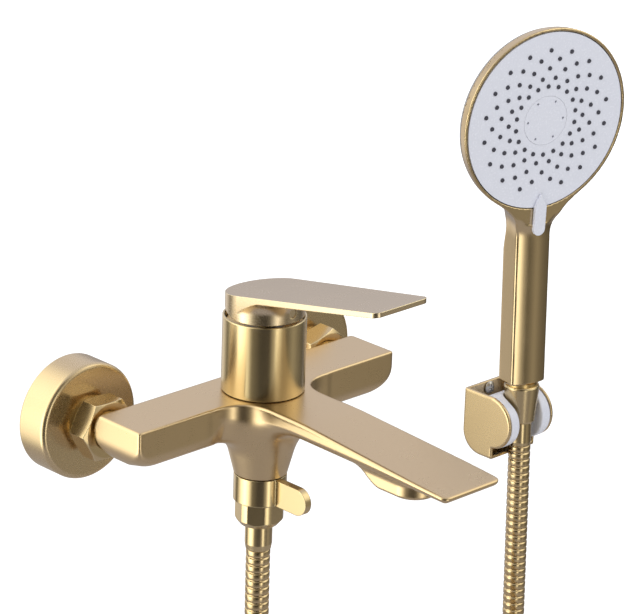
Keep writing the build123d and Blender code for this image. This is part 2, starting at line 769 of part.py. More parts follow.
with BuildPart() as lever:
    with BuildSketch(wall_plane(0, axis_y, 0)):
        with BuildLine():
            Line((0, hub_bottom), (hub_radius, hub_bottom))
            Line((hub_radius, hub_bottom), (hub_radius, hub_straight))
            chin = TangentArc((hub_radius, hub_straight), (hub_flare_radius, hub_flare_top), tangent=(0, 1))
            Polyline(chin @ 1, (hub_flare_radius, lever_tip * -1), (0, lever_tip * -1), (0, hub_bottom))
        make_face()
    revolve(axis=Axis((0, axis_y, 0), (0, 0, 1)))
    with BuildSketch(Plane.YZ):
        with BuildLine():
            Polyline(
                (blade_start, lever_top(blade_start)),
                (blade_end, lever_top(blade_end)),
                (blade_end, lever_top(blade_end) - lever_tip_thickness),
                (axis_y, lever_top(axis_y) - lever_root_thickness),
                (blade_start, lever_top(blade_start) - lever_root_thickness),
                close=True,
            )
        make_face()
    extrude(amount=hub_radius + 5, both=True)
    with BuildSketch(Plane.XY.offset(hub_bottom - 5)) as lever_plan:
        with BuildLine():
            heel = ThreePointArc(
                (hub_radius, axis_y), (0, axis_y + hub_radius), (-hub_radius, axis_y)
            )
            Polyline(
                (-hub_radius, axis_y),
                (-lever_tip_half_width, lever_tip),
                (lever_tip_half_width, lever_tip),
                (hub_radius, axis_y),
            )
        make_face()
        fillet(lever_plan.vertices().group_by(Axis.Y)[0], lever_tip_corner)
    extrude(amount=60, mode=Mode.INTERSECT)
    with BuildSketch(Plane.YZ):
        with BuildLine():
            Polyline(
                (blade_start, lever_top(blade_start)),
                (blade_end, lever_top(blade_end)),
                (blade_end, hub_bottom - 5),
                (blade_start, hub_bottom - 5),
                close=True,
            )
        make_face()
    extrude(amount=hub_radius + 5, both=True, mode=Mode.INTERSECT)
    with BuildSketch(Plane.YZ):
        with BuildLine():
            Polyline(
                (axis_y, hub_bottom),
                (axis_y, hub_bottom - 2),
                (blade_start + 2, hub_bottom - 2),
                (blade_start + 2, hub_bottom + (blade_start + 2 - axis_y) * tan(radians(lever_lift))),
                close=True,
            )
        make_face()
    extrude(amount=hub_radius + 5, both=True, mode=Mode.SUBTRACT)
    with BuildSketch(Plane.XY.offset(hub_bottom)):
        with Locations((0, axis_y)):
            Rectangle(stem_square + 2 * seat_gap, stem_square + 2 * seat_gap)
    extrude(amount=stem_top - hub_bottom + seat_gap, mode=Mode.SUBTRACT)
    with BuildSketch(wall_plane(0, axis_y, grub_height)):
        Circle(grub_radius + screw_gap)
    extrude(amount=hub_radius + 8, mode=Mode.SUBTRACT)
lever.part.label = "lever"
export_step(lever.part, "parts/lever.step")

with BuildPart() as lever_screw:
    with BuildSketch(wall_plane(0, axis_y - stem_square / 2, grub_height)):
        Circle(grub_radius)
    extrude(amount=8.0)
    with BuildSketch(wall_plane(0, axis_y - stem_square / 2 - 8, grub_height)):
        RegularPolygon(1.25, 6)
    extrude(amount=-3.0, mode=Mode.SUBTRACT)
lever_screw.part.label = "lever_screw"
export_step(lever_screw.part, "parts/lever_screw.step")

with BuildPart() as lever_plug:
    with BuildSketch(wall_plane(0, axis_y - stem_square / 2 - 10, grub_height)):
        Circle(grub_radius)
    extrude(amount=hub_radius - stem_square / 2 - 10.5)
lever_plug.part.label = "lever_plug"
export_step(lever_plug.part, "parts/lever_plug.step")

# Diverter: a hollow spool that turns round the fixed outlet stem, with two ring
# seals, and the collar with its tab that is pinned to the spool
spool_inner = outlet_stem_radius + turn_gap
spool_outer = diverter_bore_radius - turn_gap
collar_top = boss_bottom - turn_gap
with BuildPart() as outlet_nipple:
    with BuildSketch(wall_plane(0, axis_y, 0)):
        with BuildLine():
            Polyline(
                (outlet_bore_radius, outlet_stem_top),
                (outlet_stem_radius, outlet_stem_top),
                (outlet_stem_radius, collar_bottom - turn_gap),
                (outlet_thread_radius, collar_bottom - turn_gap),
                (outlet_thread_radius, outlet_thread_end),
                (outlet_bore_radius, outlet_thread_end),
                close=True,
            )
        make_face()
    revolve(axis=Axis((0, axis_y, 0), (0, 0, 1)))
    with BuildSketch(Plane.YZ):
        with Locations((axis_y, spool_top - 4)):
            Circle(2.6)
    extrude(amount=20, mode=Mode.SUBTRACT)
outlet_nipple.part.label = "outlet_nipple"
export_step(outlet_nipple.part, "parts/outlet_nipple.step")

groove_heights = [-23.0, -28.0]
with BuildPart() as diverter_spool:
    with BuildSketch(Plane.XY.offset(collar_bottom)):
        with Locations((0, axis_y)):
            Circle(spool_outer)
            Circle(spool_inner, mode=Mode.SUBTRACT)
    extrude(amount=spool_top - collar_bottom)
    for height in groove_heights:
        with BuildSketch(Plane.XY.offset(height)):
            with Locations((0, axis_y)):
                Circle(spool_outer + 1)
                Circle(spool_outer - 1.1, mode=Mode.SUBTRACT)
        extrude(amount=2.0, mode=Mode.SUBTRACT)
    with BuildSketch(wall_plane(0, axis_y, spool_top - 4)):
        Rectangle(spool_window, 4.5)
    extrude(amount=20, mode=Mode.SUBTRACT)
diverter_spool.part.label = "diverter_spool"
export_step(diverter_spool.part, "parts/diverter_spool.step")

with BuildPart() as diverter_seals:
    for height in groove_heights:
        with BuildSketch(Plane.XY.offset(height + 0.1)):
            with Locations((0, axis_y)):
                Circle(spool_outer + 0.15)
                Circle(spool_outer - 1.1, mode=Mode.SUBTRACT)
        extrude(amount=1.8)
diverter_seals.part.label = "diverter_seals"
export_step(diverter_seals.part, "parts/diverter_seals.step")

with BuildPart() as diverter_collar:
    with BuildSketch(Plane.XY.offset(collar_bottom)):
        with Locations((0, axis_y)):
            Circle(boss_radius)
    extrude(amount=collar_top - collar_bottom)
    with BuildSketch(Plane.YZ):
        with BuildLine():
            tab_mid = (collar_top + collar_bottom) / 2
            Polyline((tab_centre_y, tab_mid + tab_radius), (axis_y, tab_mid + tab_radius),
                     (axis_y, tab_mid - tab_radius), (tab_centre_y, tab_mid - tab_radius))
            ThreePointArc((tab_centre_y, tab_mid + tab_radius), (tab_centre_y - tab_radius, tab_mid),
                          (tab_centre_y, tab_mid - tab_radius))
        make_face()
    extrude(amount=tab_thickness / 2, both=True)
    with BuildSketch(Plane.XY.offset(collar_bottom)):
        with Locations((0, axis_y)):
            Circle(spool_outer + 0.02)
    extrude(amount=collar_top - collar_bottom, mode=Mode.SUBTRACT)
    with BuildSketch(Plane(origin=(0, axis_y, tab_mid), x_dir=(1, 0, 0), z_dir=(0, 1, 0))):
        Circle(collar_screw_radius + screw_gap)
    extrude(amount=boss_radius + 2, mode=Mode.SUBTRACT)
diverter_collar.part.label = "diverter_collar"
export_step(diverter_collar.part, "parts/diverter_collar.step")

with BuildPart() as collar_screw:
    with BuildSketch(Plane(origin=(0, axis_y + spool_outer, tab_mid), x_dir=(1, 0, 0), z_dir=(0, 1, 0))):
        Circle(collar_screw_radius)
    extrude(amount=boss_radius - spool_outer - 0.4)
collar_screw.part.label = "collar_screw"
export_step(collar_screw.part, "parts/collar_screw.step")

# Hexagon nut, washer and ferrule that hold the hose on the outlet
washer_bottom = outlet_thread_end - hose_washer_thickness
flange_bottom = washer_bottom - ferrule_flange
with BuildPart() as hose_nut:
    with BuildSketch(Plane.XY.offset(hose_nut_bottom)):
        with Locations((0, axis_y)):
            RegularPolygon(hose_nut_flats / 2, 6, major_radius=False, rotation=hose_nut_turn)
    extrude(amount=hose_nut_top - hose_nut_bottom)
    with BuildSketch(wall_plane(0, axis_y, 0)):
        with BuildLine():
            Polyline(
                (0, hose_nut_top),
                (hose_nut_flats / 2 + 0.8, hose_nut_top),
                (hose_nut_flats / 2 + 0.8, hose_nut_bottom + 3.0),
                (hose_nut_flats / 2 - 1.6, hose_nut_bottom),
                (0, hose_nut_bottom),
                close=True,
            )
        make_face()
    revolve(axis=Axis((0, axis_y, 0), (0, 0, 1)), mode=Mode.INTERSECT)
    with BuildSketch(Plane.XY.offset(flange_bottom)):
        with Locations((0, axis_y)):
            Circle(outlet_thread_radius + screw_gap)
    extrude(amount=hose_nut_top - flange_bottom, mode=Mode.SUBTRACT)
    with BuildSketch(Plane.XY.offset(hose_nut_bottom)):
        with Locations((0, axis_y)):
            Circle(ferrule_radius + seat_gap)
    extrude(amount=hose_nut_lip + 2, mode=Mode.SUBTRACT)
hose_nut.part.label = "hose_nut"
export_step(hose_nut.part, "parts/hose_nut.step")

with BuildPart() as hose_washer:
    with BuildSketch(Plane.XY.offset(washer_bottom)):
        with Locations((0, axis_y)):
            Circle(outlet_thread_radius - 0.8)
            Circle(outlet_bore_radius + 0.4, mode=Mode.SUBTRACT)
    extrude(amount=hose_washer_thickness)
hose_washer.part.label = "hose_washer"
export_step(hose_washer.part, "parts/hose_washer.step")

with BuildPart() as ferrule_bottom:
    with BuildSketch(wall_plane(0, axis_y, 0)):
        with BuildLine():
            Polyline(
                (hose_bore_radius, washer_bottom),
                (outlet_thread_radius - 0.8, washer_bottom),
                (outlet_thread_radius - 0.8, flange_bottom),
                (ferrule_radius, flange_bottom),
                (ferrule_radius, ferrule_end + 3.0),
                (ferrule_radius - 0.5, ferrule_end),
                (hose_bore_radius, ferrule_end),
                close=True,
            )
        make_face()
    revolve(axis=Axis((0, axis_y, 0), (0, 0, 1)))
ferrule_bottom.part.label = "ferrule_bottom"
export_step(ferrule_bottom.part, "parts/ferrule_bottom.step")

# Frame of the hand shower: its origin is the pivot of the holder's clip, its Z
# runs up the handle and its -Y is the way the spray face looks
lean = radians(shower_lean)
turn = radians(shower_turn)
pivot = Vector(holder_x, pivot_y, pivot_z)
handle_dir = Vector(0, sin(lean), cos(lean))
level_x = Vector(cos(turn), -sin(turn), 0)
side_dir = (level_x - handle_dir * level_x.dot(handle_dir)).normalized()
shower = Plane(origin=pivot, x_dir=side_dir, z_dir=handle_dir)
upright = Plane(origin=pivot, x_dir=(1, 0, 0), z_dir=handle_dir)
shower_axis = Axis(pivot, handle_dir)
profile = Plane(origin=pivot, x_dir=side_dir, z_dir=side_dir.cross(handle_dir))

# Hose, in three stretches. The lower one drops out of the ferrule and swings
# round under the coil; the coil is one tube on pairs of arcs, a pair to each
# quarter of a turn; the upper one hangs straight under the hand shower.
hose_start = pivot - handle_dir * cone_ferrule_reach
coil_end = hose_start + handle_dir * ((coil_height - hose_start.Z) / handle_dir.Z)
coil_x = coil_end.X - coil_radius
coil_rise = (coil_end.Y - axis_y) / (coil_quarters * pi / 2)
coil_low = coil_height - coil_radius


def coil_point(quarter):
    """Point on the coil after this many quarter turns, from its lowest point."""
    angle = quarter * pi / 2
    return Vector(
        coil_x + coil_radius * sin(angle),
        axis_y + coil_rise * angle,
        coil_height - coil_radius * cos(angle),
    )


def coil_heading(quarter):
    """Direction of the coil there, in line with its neighbours at its ends."""
    angle = quarter * pi / 2
    if quarter == 0:
        return Vector(1, 0, 0)
    if quarter == coil_quarters:
        return handle_dir
    return Vector(coil_radius * cos(angle), coil_rise, coil_radius * sin(angle)).normalized()


def coil_joint(start, start_way, end, end_way):
    """Point where the two tangent arcs of a quarter turn meet, and their heading."""
    chord = end - start
    ways = start_way + end_way
    spread = 2 * (1 - start_way.dot(end_way))
    along = chord.dot(ways)
    reach = (sqrt(along * along + spread * chord.dot(chord)) - along) / spread
    first = start + start_way * reach
    second = end - end_way * reach
    return (first + second) / 2, (second - first).normalized()


coil_start = coil_point(0) - Vector(coil_lead, 0, 0)
coil_exit = coil_end + handle_dir * coil_lead
with BuildPart() as hose_coil:
    with BuildLine() as coil_path:
        Line(coil_start, coil_point(0))
        for quarter in range(coil_quarters):
            start = coil_point(quarter)
            end = coil_point(quarter + 1)
            start_way = coil_heading(quarter)
            end_way = coil_heading(quarter + 1)
            middle, middle_way = coil_joint(start, start_way, end, end_way)
            TangentArc(start, middle, tangent=start_way)
            TangentArc(middle, end, tangent=middle_way)
        Line(coil_end, coil_exit)
    coil_wire = coil_path.wire()
    with BuildSketch(Plane(origin=coil_start, x_dir=(0, 1, 0), z_dir=(1, 0, 0))):
        Circle(hose_radius)
    sweep(path=coil_wire)
hose_coil.part.label = "hose_coil"
export_step(hose_coil.part, "parts/hose_coil.step")

coil_length = coil_wire.length
samples = [coil_wire @ (i / 600) for i in range(601)]
least = min(
    (samples[i] - samples[j]).length
    for i in range(0, 601, 2)
    for j in range(i + 70, 601)
)
print("coil: length", round(coil_length, 1), "least gap", round(least - 2 * hose_radius, 2))
section = pi * hose_radius**2
print("coil: volume", round(hose_coil.part.volume, 0), "expected", round(section * coil_length, 0))


def ribbed(path, length, across):
    """Planes and radii of the circles along a ribbed stretch, four to a rib."""
    ribs = int(length / hose_pitch)
    pitch = length / ribs
    rings = []
    for rib in range(ribs):
        for share, radius in ((0.0, hose_root_radius), (0.2, hose_radius),
                              (0.7, hose_radius), (0.9, hose_root_radius)):
            at = (rib + share) * pitch / length
            rings.append((Plane(origin=path @ at, x_dir=across, z_dir=path % at), radius))
    rings.append((Plane(origin=path @ 1, x_dir=across, z_dir=path % 1), hose_root_radius))
    return rings


lower_points = [
    Vector(0, axis_y, ferrule_end),
    Vector(0, axis_y, -140),
    Vector(5, axis_y, -205),
    Vector(29, axis_y, -262),
    Vector(70, axis_y, -303),
    Vector(118, axis_y, coil_low),
    coil_start,
]
lower_radii = []
for i in range(1, len(lower_points) - 1):
    before = lower_points[i] - lower_points[i - 1]
    after = lower_points[i + 1] - lower_points[i]
    bend = radians(before.get_angle(after))
    lower_radii.append(0.45 * min(before.length, after.length) / tan(bend / 2))
print("lower hose radii", [round(r, 0) for r in lower_radii])

with BuildPart() as hose_lower:
    with BuildLine() as lower_path:
        FilletPolyline(*lower_points, radius=lower_radii)
    lower_wire = lower_path.wire()
    lower_length = lower_wire.length
    for plane, radius in ribbed(lower_wire, lower_length, (0, 1, 0)):
        with BuildSketch(plane):
            Circle(radius)
    loft(ruled=True)
    with BuildSketch(Plane(origin=lower_points[0], x_dir=(1, 0, 0), z_dir=(0, 0, -1))):
        Circle(hose_bore_radius)
    sweep(path=lower_wire, mode=Mode.SUBTRACT)
hose_lower.part.label = "hose_lower"
export_step(hose_lower.part, "parts/hose_lower.step")

with BuildPart() as hose_upper:
    with BuildLine() as upper_path:
        Line(hose_start, coil_exit)
    upper_wire = upper_path.wire()
    upper_length = upper_wire.length
    for plane, radius in ribbed(upper_wire, upper_length, (1, 0, 0)):
        with BuildSketch(plane):
            Circle(radius)
    loft(ruled=True)
    with BuildSketch(Plane(origin=hose_start, x_dir=(1, 0, 0), z_dir=handle_dir * -1)):
        Circle(hose_bore_radius)
    extrude(amount=upper_length, mode=Mode.SUBTRACT)
hose_upper.part.label = "hose_upper"
export_step(hose_upper.part, "parts/hose_upper.step")
# Tie: a rubber band round the three passes of the hose at the coil's lowest point
tie_end = coil_point(8)
tie_origin = Vector(coil_x - tie_width / 2, (axis_y + tie_end.Y) / 2, coil_low)
with BuildPart() as hose_tie:
    with BuildSketch(Plane(origin=tie_origin, x_dir=(0, 1, 0), z_dir=(1, 0, 0))):
        SlotCenterToCenter(tie_end.Y - axis_y, 2 * (tie_inner_radius + tie_thickness))
        SlotCenterToCenter(tie_end.Y - axis_y, 2 * tie_inner_radius, mode=Mode.SUBTRACT)
    extrude(amount=tie_width)
hose_tie.part.label = "hose_tie"
export_step(hose_tie.part, "parts/hose_tie.step")
print("hose length", round(lower_length + coil_length + upper_length, 1))

# Conical nut that hangs in the clip, with its washer and the hose's ferrule
cone_thread_bottom = cone_lip + cone_ferrule_flange + cone_washer
with BuildPart() as cone_nut:
    with BuildSketch(profile):
        with BuildLine():
            Polyline(
                (cone_ferrule_radius + seat_gap, 0),
                (cone_bottom_radius - 0.6, 0),
                (cone_bottom_radius, 1.0),
                (cone_top_radius, cone_length - 1.0),
                (cone_top_radius - 0.5, cone_length),
                (cone_thread_radius + screw_gap, cone_length),
                (cone_thread_radius + screw_gap, cone_thread_bottom),
                (cone_bottom_radius - 0.5, cone_thread_bottom),
                (cone_bottom_radius - 0.5, cone_lip),
                (cone_ferrule_radius + seat_gap, cone_lip),
                close=True,
            )
        make_face()
    revolve(axis=shower_axis)
cone_nut.part.label = "cone_nut"
export_step(cone_nut.part, "parts/cone_nut.step")

with BuildPart() as cone_washer_ring:
    with BuildSketch(shower.offset(cone_lip + cone_ferrule_flange)):
        Circle(cone_bottom_radius - 0.6)
        Circle(hose_bore_radius, mode=Mode.SUBTRACT)
    extrude(amount=cone_washer)
cone_washer_ring.part.label = "cone_washer"
export_step(cone_washer_ring.part, "parts/cone_washer.step")

with BuildPart() as cone_ferrule:
    with BuildSketch(profile):
        with BuildLine():
            Polyline(
                (hose_bore_radius, -cone_ferrule_reach),
                (cone_ferrule_radius - 0.3, -cone_ferrule_reach),
                (cone_ferrule_radius, -cone_ferrule_reach + 2),
                (cone_ferrule_radius, cone_lip),
                (cone_bottom_radius - 0.6, cone_lip),
                (cone_bottom_radius - 0.6, cone_lip + cone_ferrule_flange),
                (hose_bore_radius, cone_lip + cone_ferrule_flange),
                close=True,
            )
        make_face()
    revolve(axis=shower_axis)
cone_ferrule.part.label = "cone_ferrule"
export_step(cone_ferrule.part, "parts/cone_ferrule.step")

# Hand shower: the head's frame lies in its rim, its Z is the way it sprays
tilt = radians(head_tilt)
forward = side_dir.cross(handle_dir)
head_centre = pivot + handle_dir * head_height + forward * head_forward
spray_dir = forward * cos(tilt) - handle_dir * sin(tilt)
face = Plane(origin=head_centre, x_dir=side_dir, z_dir=spray_dir)
head_profile = Plane(origin=head_centre, x_dir=side_dir, z_dir=side_dir.cross(spray_dir))
head_axis = Axis(head_centre, spray_dir)
neck_top_height = cone_length + shower_neck
stack_depth = face_sink + face_thickness + mat_thickness + chamber_thickness


# Handle: one flat sided section with rounded front and back, its back drawn in
# towards the head
side_view = Plane(origin=pivot, x_dir=forward * -1, z_dir=side_dir)
handle_top = head_height - head_radius / 2
handle_draw = head_height - head_radius - 24
with BuildPart() as handset_shell:
    with BuildSketch(shower.offset(neck_top_height)):
        with BuildLine():
            half = handle_width / 2
            Line((-half, -handle_front), (-half, handle_back))
            ThreePointArc((-half, handle_back), (0, handle_back + handle_bulge_back), (half, handle_back))
            Line((half, handle_back), (half, -handle_front))
            ThreePointArc((half, -handle_front), (0, -handle_front - handle_bulge_front), (-half, -handle_front))
        make_face()
    extrude(amount=handle_top - neck_top_height)
    with BuildSketch(side_view) as back_line:
        with BuildLine():
            Polyline(
                (-20, 0),
                (20, 0),
                (20, handle_draw - 60),
                (handle_back + handle_bulge_back + 0.4, handle_draw),
                (handle_top_back, handle_top + 5),
                (-20, handle_top + 5),
                close=True,
            )
        make_face()
    extrude(amount=40, both=True, mode=Mode.INTERSECT)
    # head, a shallow dome behind a thin rim
    with BuildSketch(head_profile):
        with BuildLine():
            Line((0, 0), (head_radius - 0.5, 0))
            Line((head_radius - 0.5, 0), (head_radius, -0.8))
            Line((head_radius, -0.8), (head_radius - 1.2, -head_side))
            ThreePointArc(
                (head_radius - 1.2, -head_side),
                (head_radius * 0.62, -head_side - (head_depth - head_side) * 0.72),
                (0, -head_depth),
            )
            Line((0, -head_depth), (0, 0))
        make_face()
    revolve(axis=head_axis)
    with BuildSketch(face):
        Circle(head_radius - head_rim)
    extrude(amount=-stack_depth, mode=Mode.SUBTRACT)
    with BuildSketch(shower.offset(neck_top_height)):
        Circle(shower_neck_radius - 0.9)
    extrude(amount=insert_depth, mode=Mode.SUBTRACT)
    with BuildSketch(shower.offset(neck_top_height)):
        Circle(hose_bore_radius)
    extrude(amount=head_height - head_radius + 12 - neck_top_height, mode=Mode.SUBTRACT)
handset_shell.part.label = "handset_shell"
export_step(handset_shell.part, "parts/handset_shell.step")

# Threaded insert: its collar is the neck that shows between nut and handle
insert_radius = shower_neck_radius - 0.9 - screw_gap
with BuildPart() as inlet_insert:
    with BuildSketch(profile):
        with BuildLine():
            Polyline(
                (hose_bore_radius, cone_thread_bottom),
                (cone_thread_radius, cone_thread_bottom),
                (cone_thread_radius, cone_length),
                (shower_neck_radius, cone_length),
                (shower_neck_radius, neck_top_height),
                (insert_radius, neck_top_height),
                (insert_radius, neck_top_height + insert_depth),
                (hose_bore_radius, neck_top_height + insert_depth),
                close=True,
            )
        make_face()
    revolve(axis=shower_axis)
inlet_insert.part.label = "inlet_insert"
export_step(inlet_insert.part, "parts/inlet_insert.step")

# Spray face, from the chamber plate at the back to the nozzle tips in front
with BuildPart() as chamber_plate:
    with BuildSketch(face.offset(-stack_depth)):
        Circle(head_radius - head_rim - seat_gap)
        with PolarLocations(30, 8):
            Circle(2.5, mode=Mode.SUBTRACT)
    extrude(amount=chamber_thickness)
chamber_plate.part.label = "chamber_plate"
export_step(chamber_plate.part, "parts/chamber_plate.step")

mat_back = -face_sink - face_thickness - mat_thickness


def nozzle_spots(index, ring):
    """Places of one ring of nozzles. Every other ring is turned by half a step,
    and the outermost leaves out the one under the selector tab."""
    step = 360 / nozzles_per_ring
    if index == 0:
        return PolarLocations(
            ring, nozzles_per_ring - 1, start_angle=270 + step, angular_range=360 - 2 * step, endpoint=True
        )
    return PolarLocations(ring, nozzles_per_ring, start_angle=270 + step / 2 * (index % 2))


with BuildPart() as nozzle_mat:
    with BuildSketch(face.offset(mat_back)):
        Circle(face_radius - 1.5)
        Circle(centre_radius + 0.5, mode=Mode.SUBTRACT)
    extrude(amount=mat_thickness)
    for index, ring in enumerate(nozzle_rings):
        with BuildSketch(face.offset(mat_back)):
            with nozzle_spots(index, ring):
                Circle(nozzle_radius)
        extrude(amount=mat_thickness + face_thickness + nozzle_rise)
nozzle_mat.part.label = "nozzle_mat"
export_step(nozzle_mat.part, "parts/nozzle_mat.step")

with BuildPart() as face_plate:
    with BuildSketch(face.offset(-face_sink - face_thickness)):
        Circle(face_radius)
        Circle(centre_radius, mode=Mode.SUBTRACT)
    extrude(amount=face_thickness)
    for index, ring in enumerate(nozzle_rings):
        with BuildSketch(face.offset(-face_sink - face_thickness)):
            with nozzle_spots(index, ring):
                Circle(nozzle_radius + screw_gap)
        extrude(amount=face_thickness, mode=Mode.SUBTRACT)
face_plate.part.label = "face_plate"
export_step(face_plate.part, "parts/face_plate.step")

with BuildPart() as centre_disc:
    with BuildSketch(face.offset(-face_sink - face_thickness)):
        Circle(centre_radius - seat_gap)
        with PolarLocations(centre_jet_ring, centre_jets):
            Circle(0.7, mode=Mode.SUBTRACT)
    extrude(amount=face_thickness)
centre_disc.part.label = "centre_disc"
export_step(centre_disc.part, "parts/centre_disc.step")

# Selector tab: pointed on the face, running down over the rim to the handle
with BuildPart() as selector_tab:
    with BuildSketch(face.offset(tab_lift - face_sink)) as teardrop:
        with BuildLine():
            half = selector_width / 2
            Polyline((-half, -selector_outer + half), (-half, -selector_inner - 7),
                     (0, -selector_inner), (half, -selector_inner - 7), (half, -selector_outer + half))
            ThreePointArc((-half, -selector_outer + half), (0, -selector_outer), (half, -selector_outer + half))
        make_face()
    extrude(amount=selector_thickness)
    with BuildSketch(face.offset(-face_sink)):
        with Locations((0, -selector_inner - 4.5)):
            Circle(2.0)
    extrude(amount=tab_lift + 0.5)
selector_tab.part.label = "selector_tab"
export_step(selector_tab.part, "parts/selector_tab.step")

# Holder: a bent plate cover with two cheeks, open to the front and the top
cheek_left = holder_x - holder_width / 2
with BuildPart() as holder_bracket:
    with BuildSketch(Plane.YZ.offset(cheek_left)) as shield:
        with BuildLine():
            Polyline(
                (0, holder_top),
                (-holder_depth, holder_top),
                (-holder_depth, holder_top - 13),
                (-22, holder_bottom),
                (0, holder_bottom + 2),
                close=True,
            )
        make_face()
        front = shield.vertices().sort_by(Axis.X)
        fillet([v for v in front if v.Y > holder_top - 1 and v.X < -1], 11)
        fillet(shield.vertices().filter_by(lambda v: v.X > -1 and v.Y < holder_foot), 13)
        fillet(shield.vertices().filter_by(lambda v: abs(v.Y - holder_bottom) < 0.5), 4)
    extrude(amount=holder_width)
    with BuildSketch(Plane.YZ.offset(cheek_left + holder_wall)) as hollow:
        with BuildLine():
            Polyline(
                (-holder_wall, holder_top + 5),
                (-holder_depth - 5, holder_top + 5),
                (-holder_depth - 5, holder_bottom - 5),
                (-19, holder_bottom - 5),
                (-19, holder_bottom + holder_wall + 2),
                (-holder_wall, holder_bottom + holder_wall + 2),
                close=True,
            )
        make_face()
        fillet(hollow.vertices().filter_by(lambda v: v.X > -3 and v.Y < holder_foot), 11)
    extrude(amount=holder_width - 2 * holder_wall, mode=Mode.SUBTRACT)
    # blind holes for the clip's pins and the two screw holes
    with BuildSketch(Plane.YZ.offset(cheek_left + holder_wall - clip_pin_reach)):
        with Locations((pivot_y, pivot_z)):
            Circle(clip_pin_radius + screw_gap)
    extrude(amount=holder_width - 2 * holder_wall + 2 * clip_pin_reach, mode=Mode.SUBTRACT)
    for i in range(2):
        with BuildSketch(wall_plane(holder_x, 0, screw_first - i * screw_spacing)):
            Circle(screw_radius + 0.15)
        extrude(amount=holder_wall + 1, both=True, mode=Mode.SUBTRACT)
holder_bracket.part.label = "holder_bracket"
export_step(holder_bracket.part, "parts/holder_bracket.step")

with BuildPart() as wall_screws:
    for i in range(2):
        height = screw_first - i * screw_spacing
        with BuildSketch(wall_plane(holder_x, -holder_wall, height)):
            Circle(screw_head_radius)
        extrude(amount=2.2)
        with BuildSketch(wall_plane(holder_x, -holder_wall, height)):
            Circle(screw_radius)
        extrude(amount=-screw_length)
        with BuildSketch(wall_plane(holder_x, -holder_wall - 2.2, height)):
            Rectangle(4.5, 0.9)
            Rectangle(0.9, 4.5)
        extrude(amount=-1.2, mode=Mode.SUBTRACT)
wall_screws.part.label = "wall_screws"
export_step(wall_screws.part, "parts/wall_screws.step")

# Clip: a plastic drum on two pins, with a tapered seat for the cone nut and a
# slot in front that lets the hose through
clip_half = holder_width / 2 - holder_wall - clip_side_gap
with BuildPart() as clip:
    with BuildSketch(Plane.YZ.offset(holder_x - clip_half)):
        with Locations((pivot_y, pivot_z)):
            Circle(clip_radius)
    extrude(amount=2 * clip_half)
    with BuildSketch(Plane.YZ.offset(holder_x - clip_half - clip_pin_reach + 0.2)):
        with Locations((pivot_y, pivot_z)):
            Circle(clip_pin_radius)
    extrude(amount=2 * (clip_half + clip_pin_reach - 0.2))
    with BuildSketch(profile):
        slope = (cone_top_radius - cone_bottom_radius) / (cone_length - 2)
        seat = cone_bottom_radius + turn_gap
        with BuildLine():
            Polyline(
                (0, -clip_radius - 2),
                (cone_ferrule_radius + 0.8, -clip_radius - 2),
                (cone_ferrule_radius + 0.8, -1.5),
                (seat, -1.0),
                (seat, 1.0),
                (seat + slope * (clip_radius + 2), clip_radius + 3),
                (0, clip_radius + 3),
                close=True,
            )
        make_face()
    revolve(axis=shower_axis, mode=Mode.SUBTRACT)
    with BuildSketch(upright.offset(-clip_radius - 2)):
        with BuildLine():
            Polyline(
                (-clip_slot / 2, 0),
                (-clip_slot / 2, -9),
                (-clip_slot_mouth / 2, -clip_radius - 2),
                (clip_slot_mouth / 2, -clip_radius - 2),
                (clip_slot / 2, -9),
                (clip_slot / 2, 0),
                close=True,
            )
        make_face()
    extrude(amount=2 * clip_radius + 4, mode=Mode.SUBTRACT)
clip.part.label = "clip"
export_step(clip.part, "parts/clip.step")
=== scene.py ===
import math

import bmesh
import bpy
import numpy
from mathutils import Matrix, Vector


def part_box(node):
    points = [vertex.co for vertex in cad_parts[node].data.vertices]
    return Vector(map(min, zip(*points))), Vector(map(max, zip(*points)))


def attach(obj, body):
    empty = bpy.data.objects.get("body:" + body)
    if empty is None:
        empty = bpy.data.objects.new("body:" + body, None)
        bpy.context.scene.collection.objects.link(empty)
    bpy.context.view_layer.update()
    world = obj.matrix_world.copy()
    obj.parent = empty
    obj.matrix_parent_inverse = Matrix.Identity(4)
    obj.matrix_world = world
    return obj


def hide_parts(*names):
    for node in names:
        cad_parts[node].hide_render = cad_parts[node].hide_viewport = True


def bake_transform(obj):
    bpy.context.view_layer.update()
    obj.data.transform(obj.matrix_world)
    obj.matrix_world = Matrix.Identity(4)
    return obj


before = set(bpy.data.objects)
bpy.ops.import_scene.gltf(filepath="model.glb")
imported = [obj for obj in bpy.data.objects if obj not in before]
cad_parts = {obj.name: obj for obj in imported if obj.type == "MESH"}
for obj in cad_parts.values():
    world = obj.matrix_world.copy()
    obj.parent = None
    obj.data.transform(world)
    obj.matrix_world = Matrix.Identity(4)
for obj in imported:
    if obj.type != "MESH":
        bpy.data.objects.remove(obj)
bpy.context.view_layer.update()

# Camera. A long lens on a tripod to the left of the mixer and a little above it,
# tipped two degrees, so that the hand shower stands as it does in the picture.
swing, rise, tip = -0.78436, 0.35567, 0.03491
looking_at = Vector((0.033040, -0.067232, 0.049047))
tripod_distance, lens_length = 1.641543, 184.85
back = Vector((math.sin(swing) * math.cos(rise), -math.cos(swing) * math.cos(rise), math.sin(rise)))
level = Vector((0, 0, 1)).cross(back).normalized()
upright = back.cross(level)
across = level * math.cos(tip) + upright * math.sin(tip)
above = upright * math.cos(tip) - level * math.sin(tip)
camera = bpy.data.objects.new("camera", bpy.data.cameras.new("camera"))
bpy.context.scene.collection.objects.link(camera)
camera.data.lens = lens_length
camera.data.clip_end = 30
camera.matrix_world = Matrix.Translation(looking_at + back * tripod_distance) @ Matrix(
    (across, above, back)).transposed().to_4x4()
bpy.context.scene.camera = camera

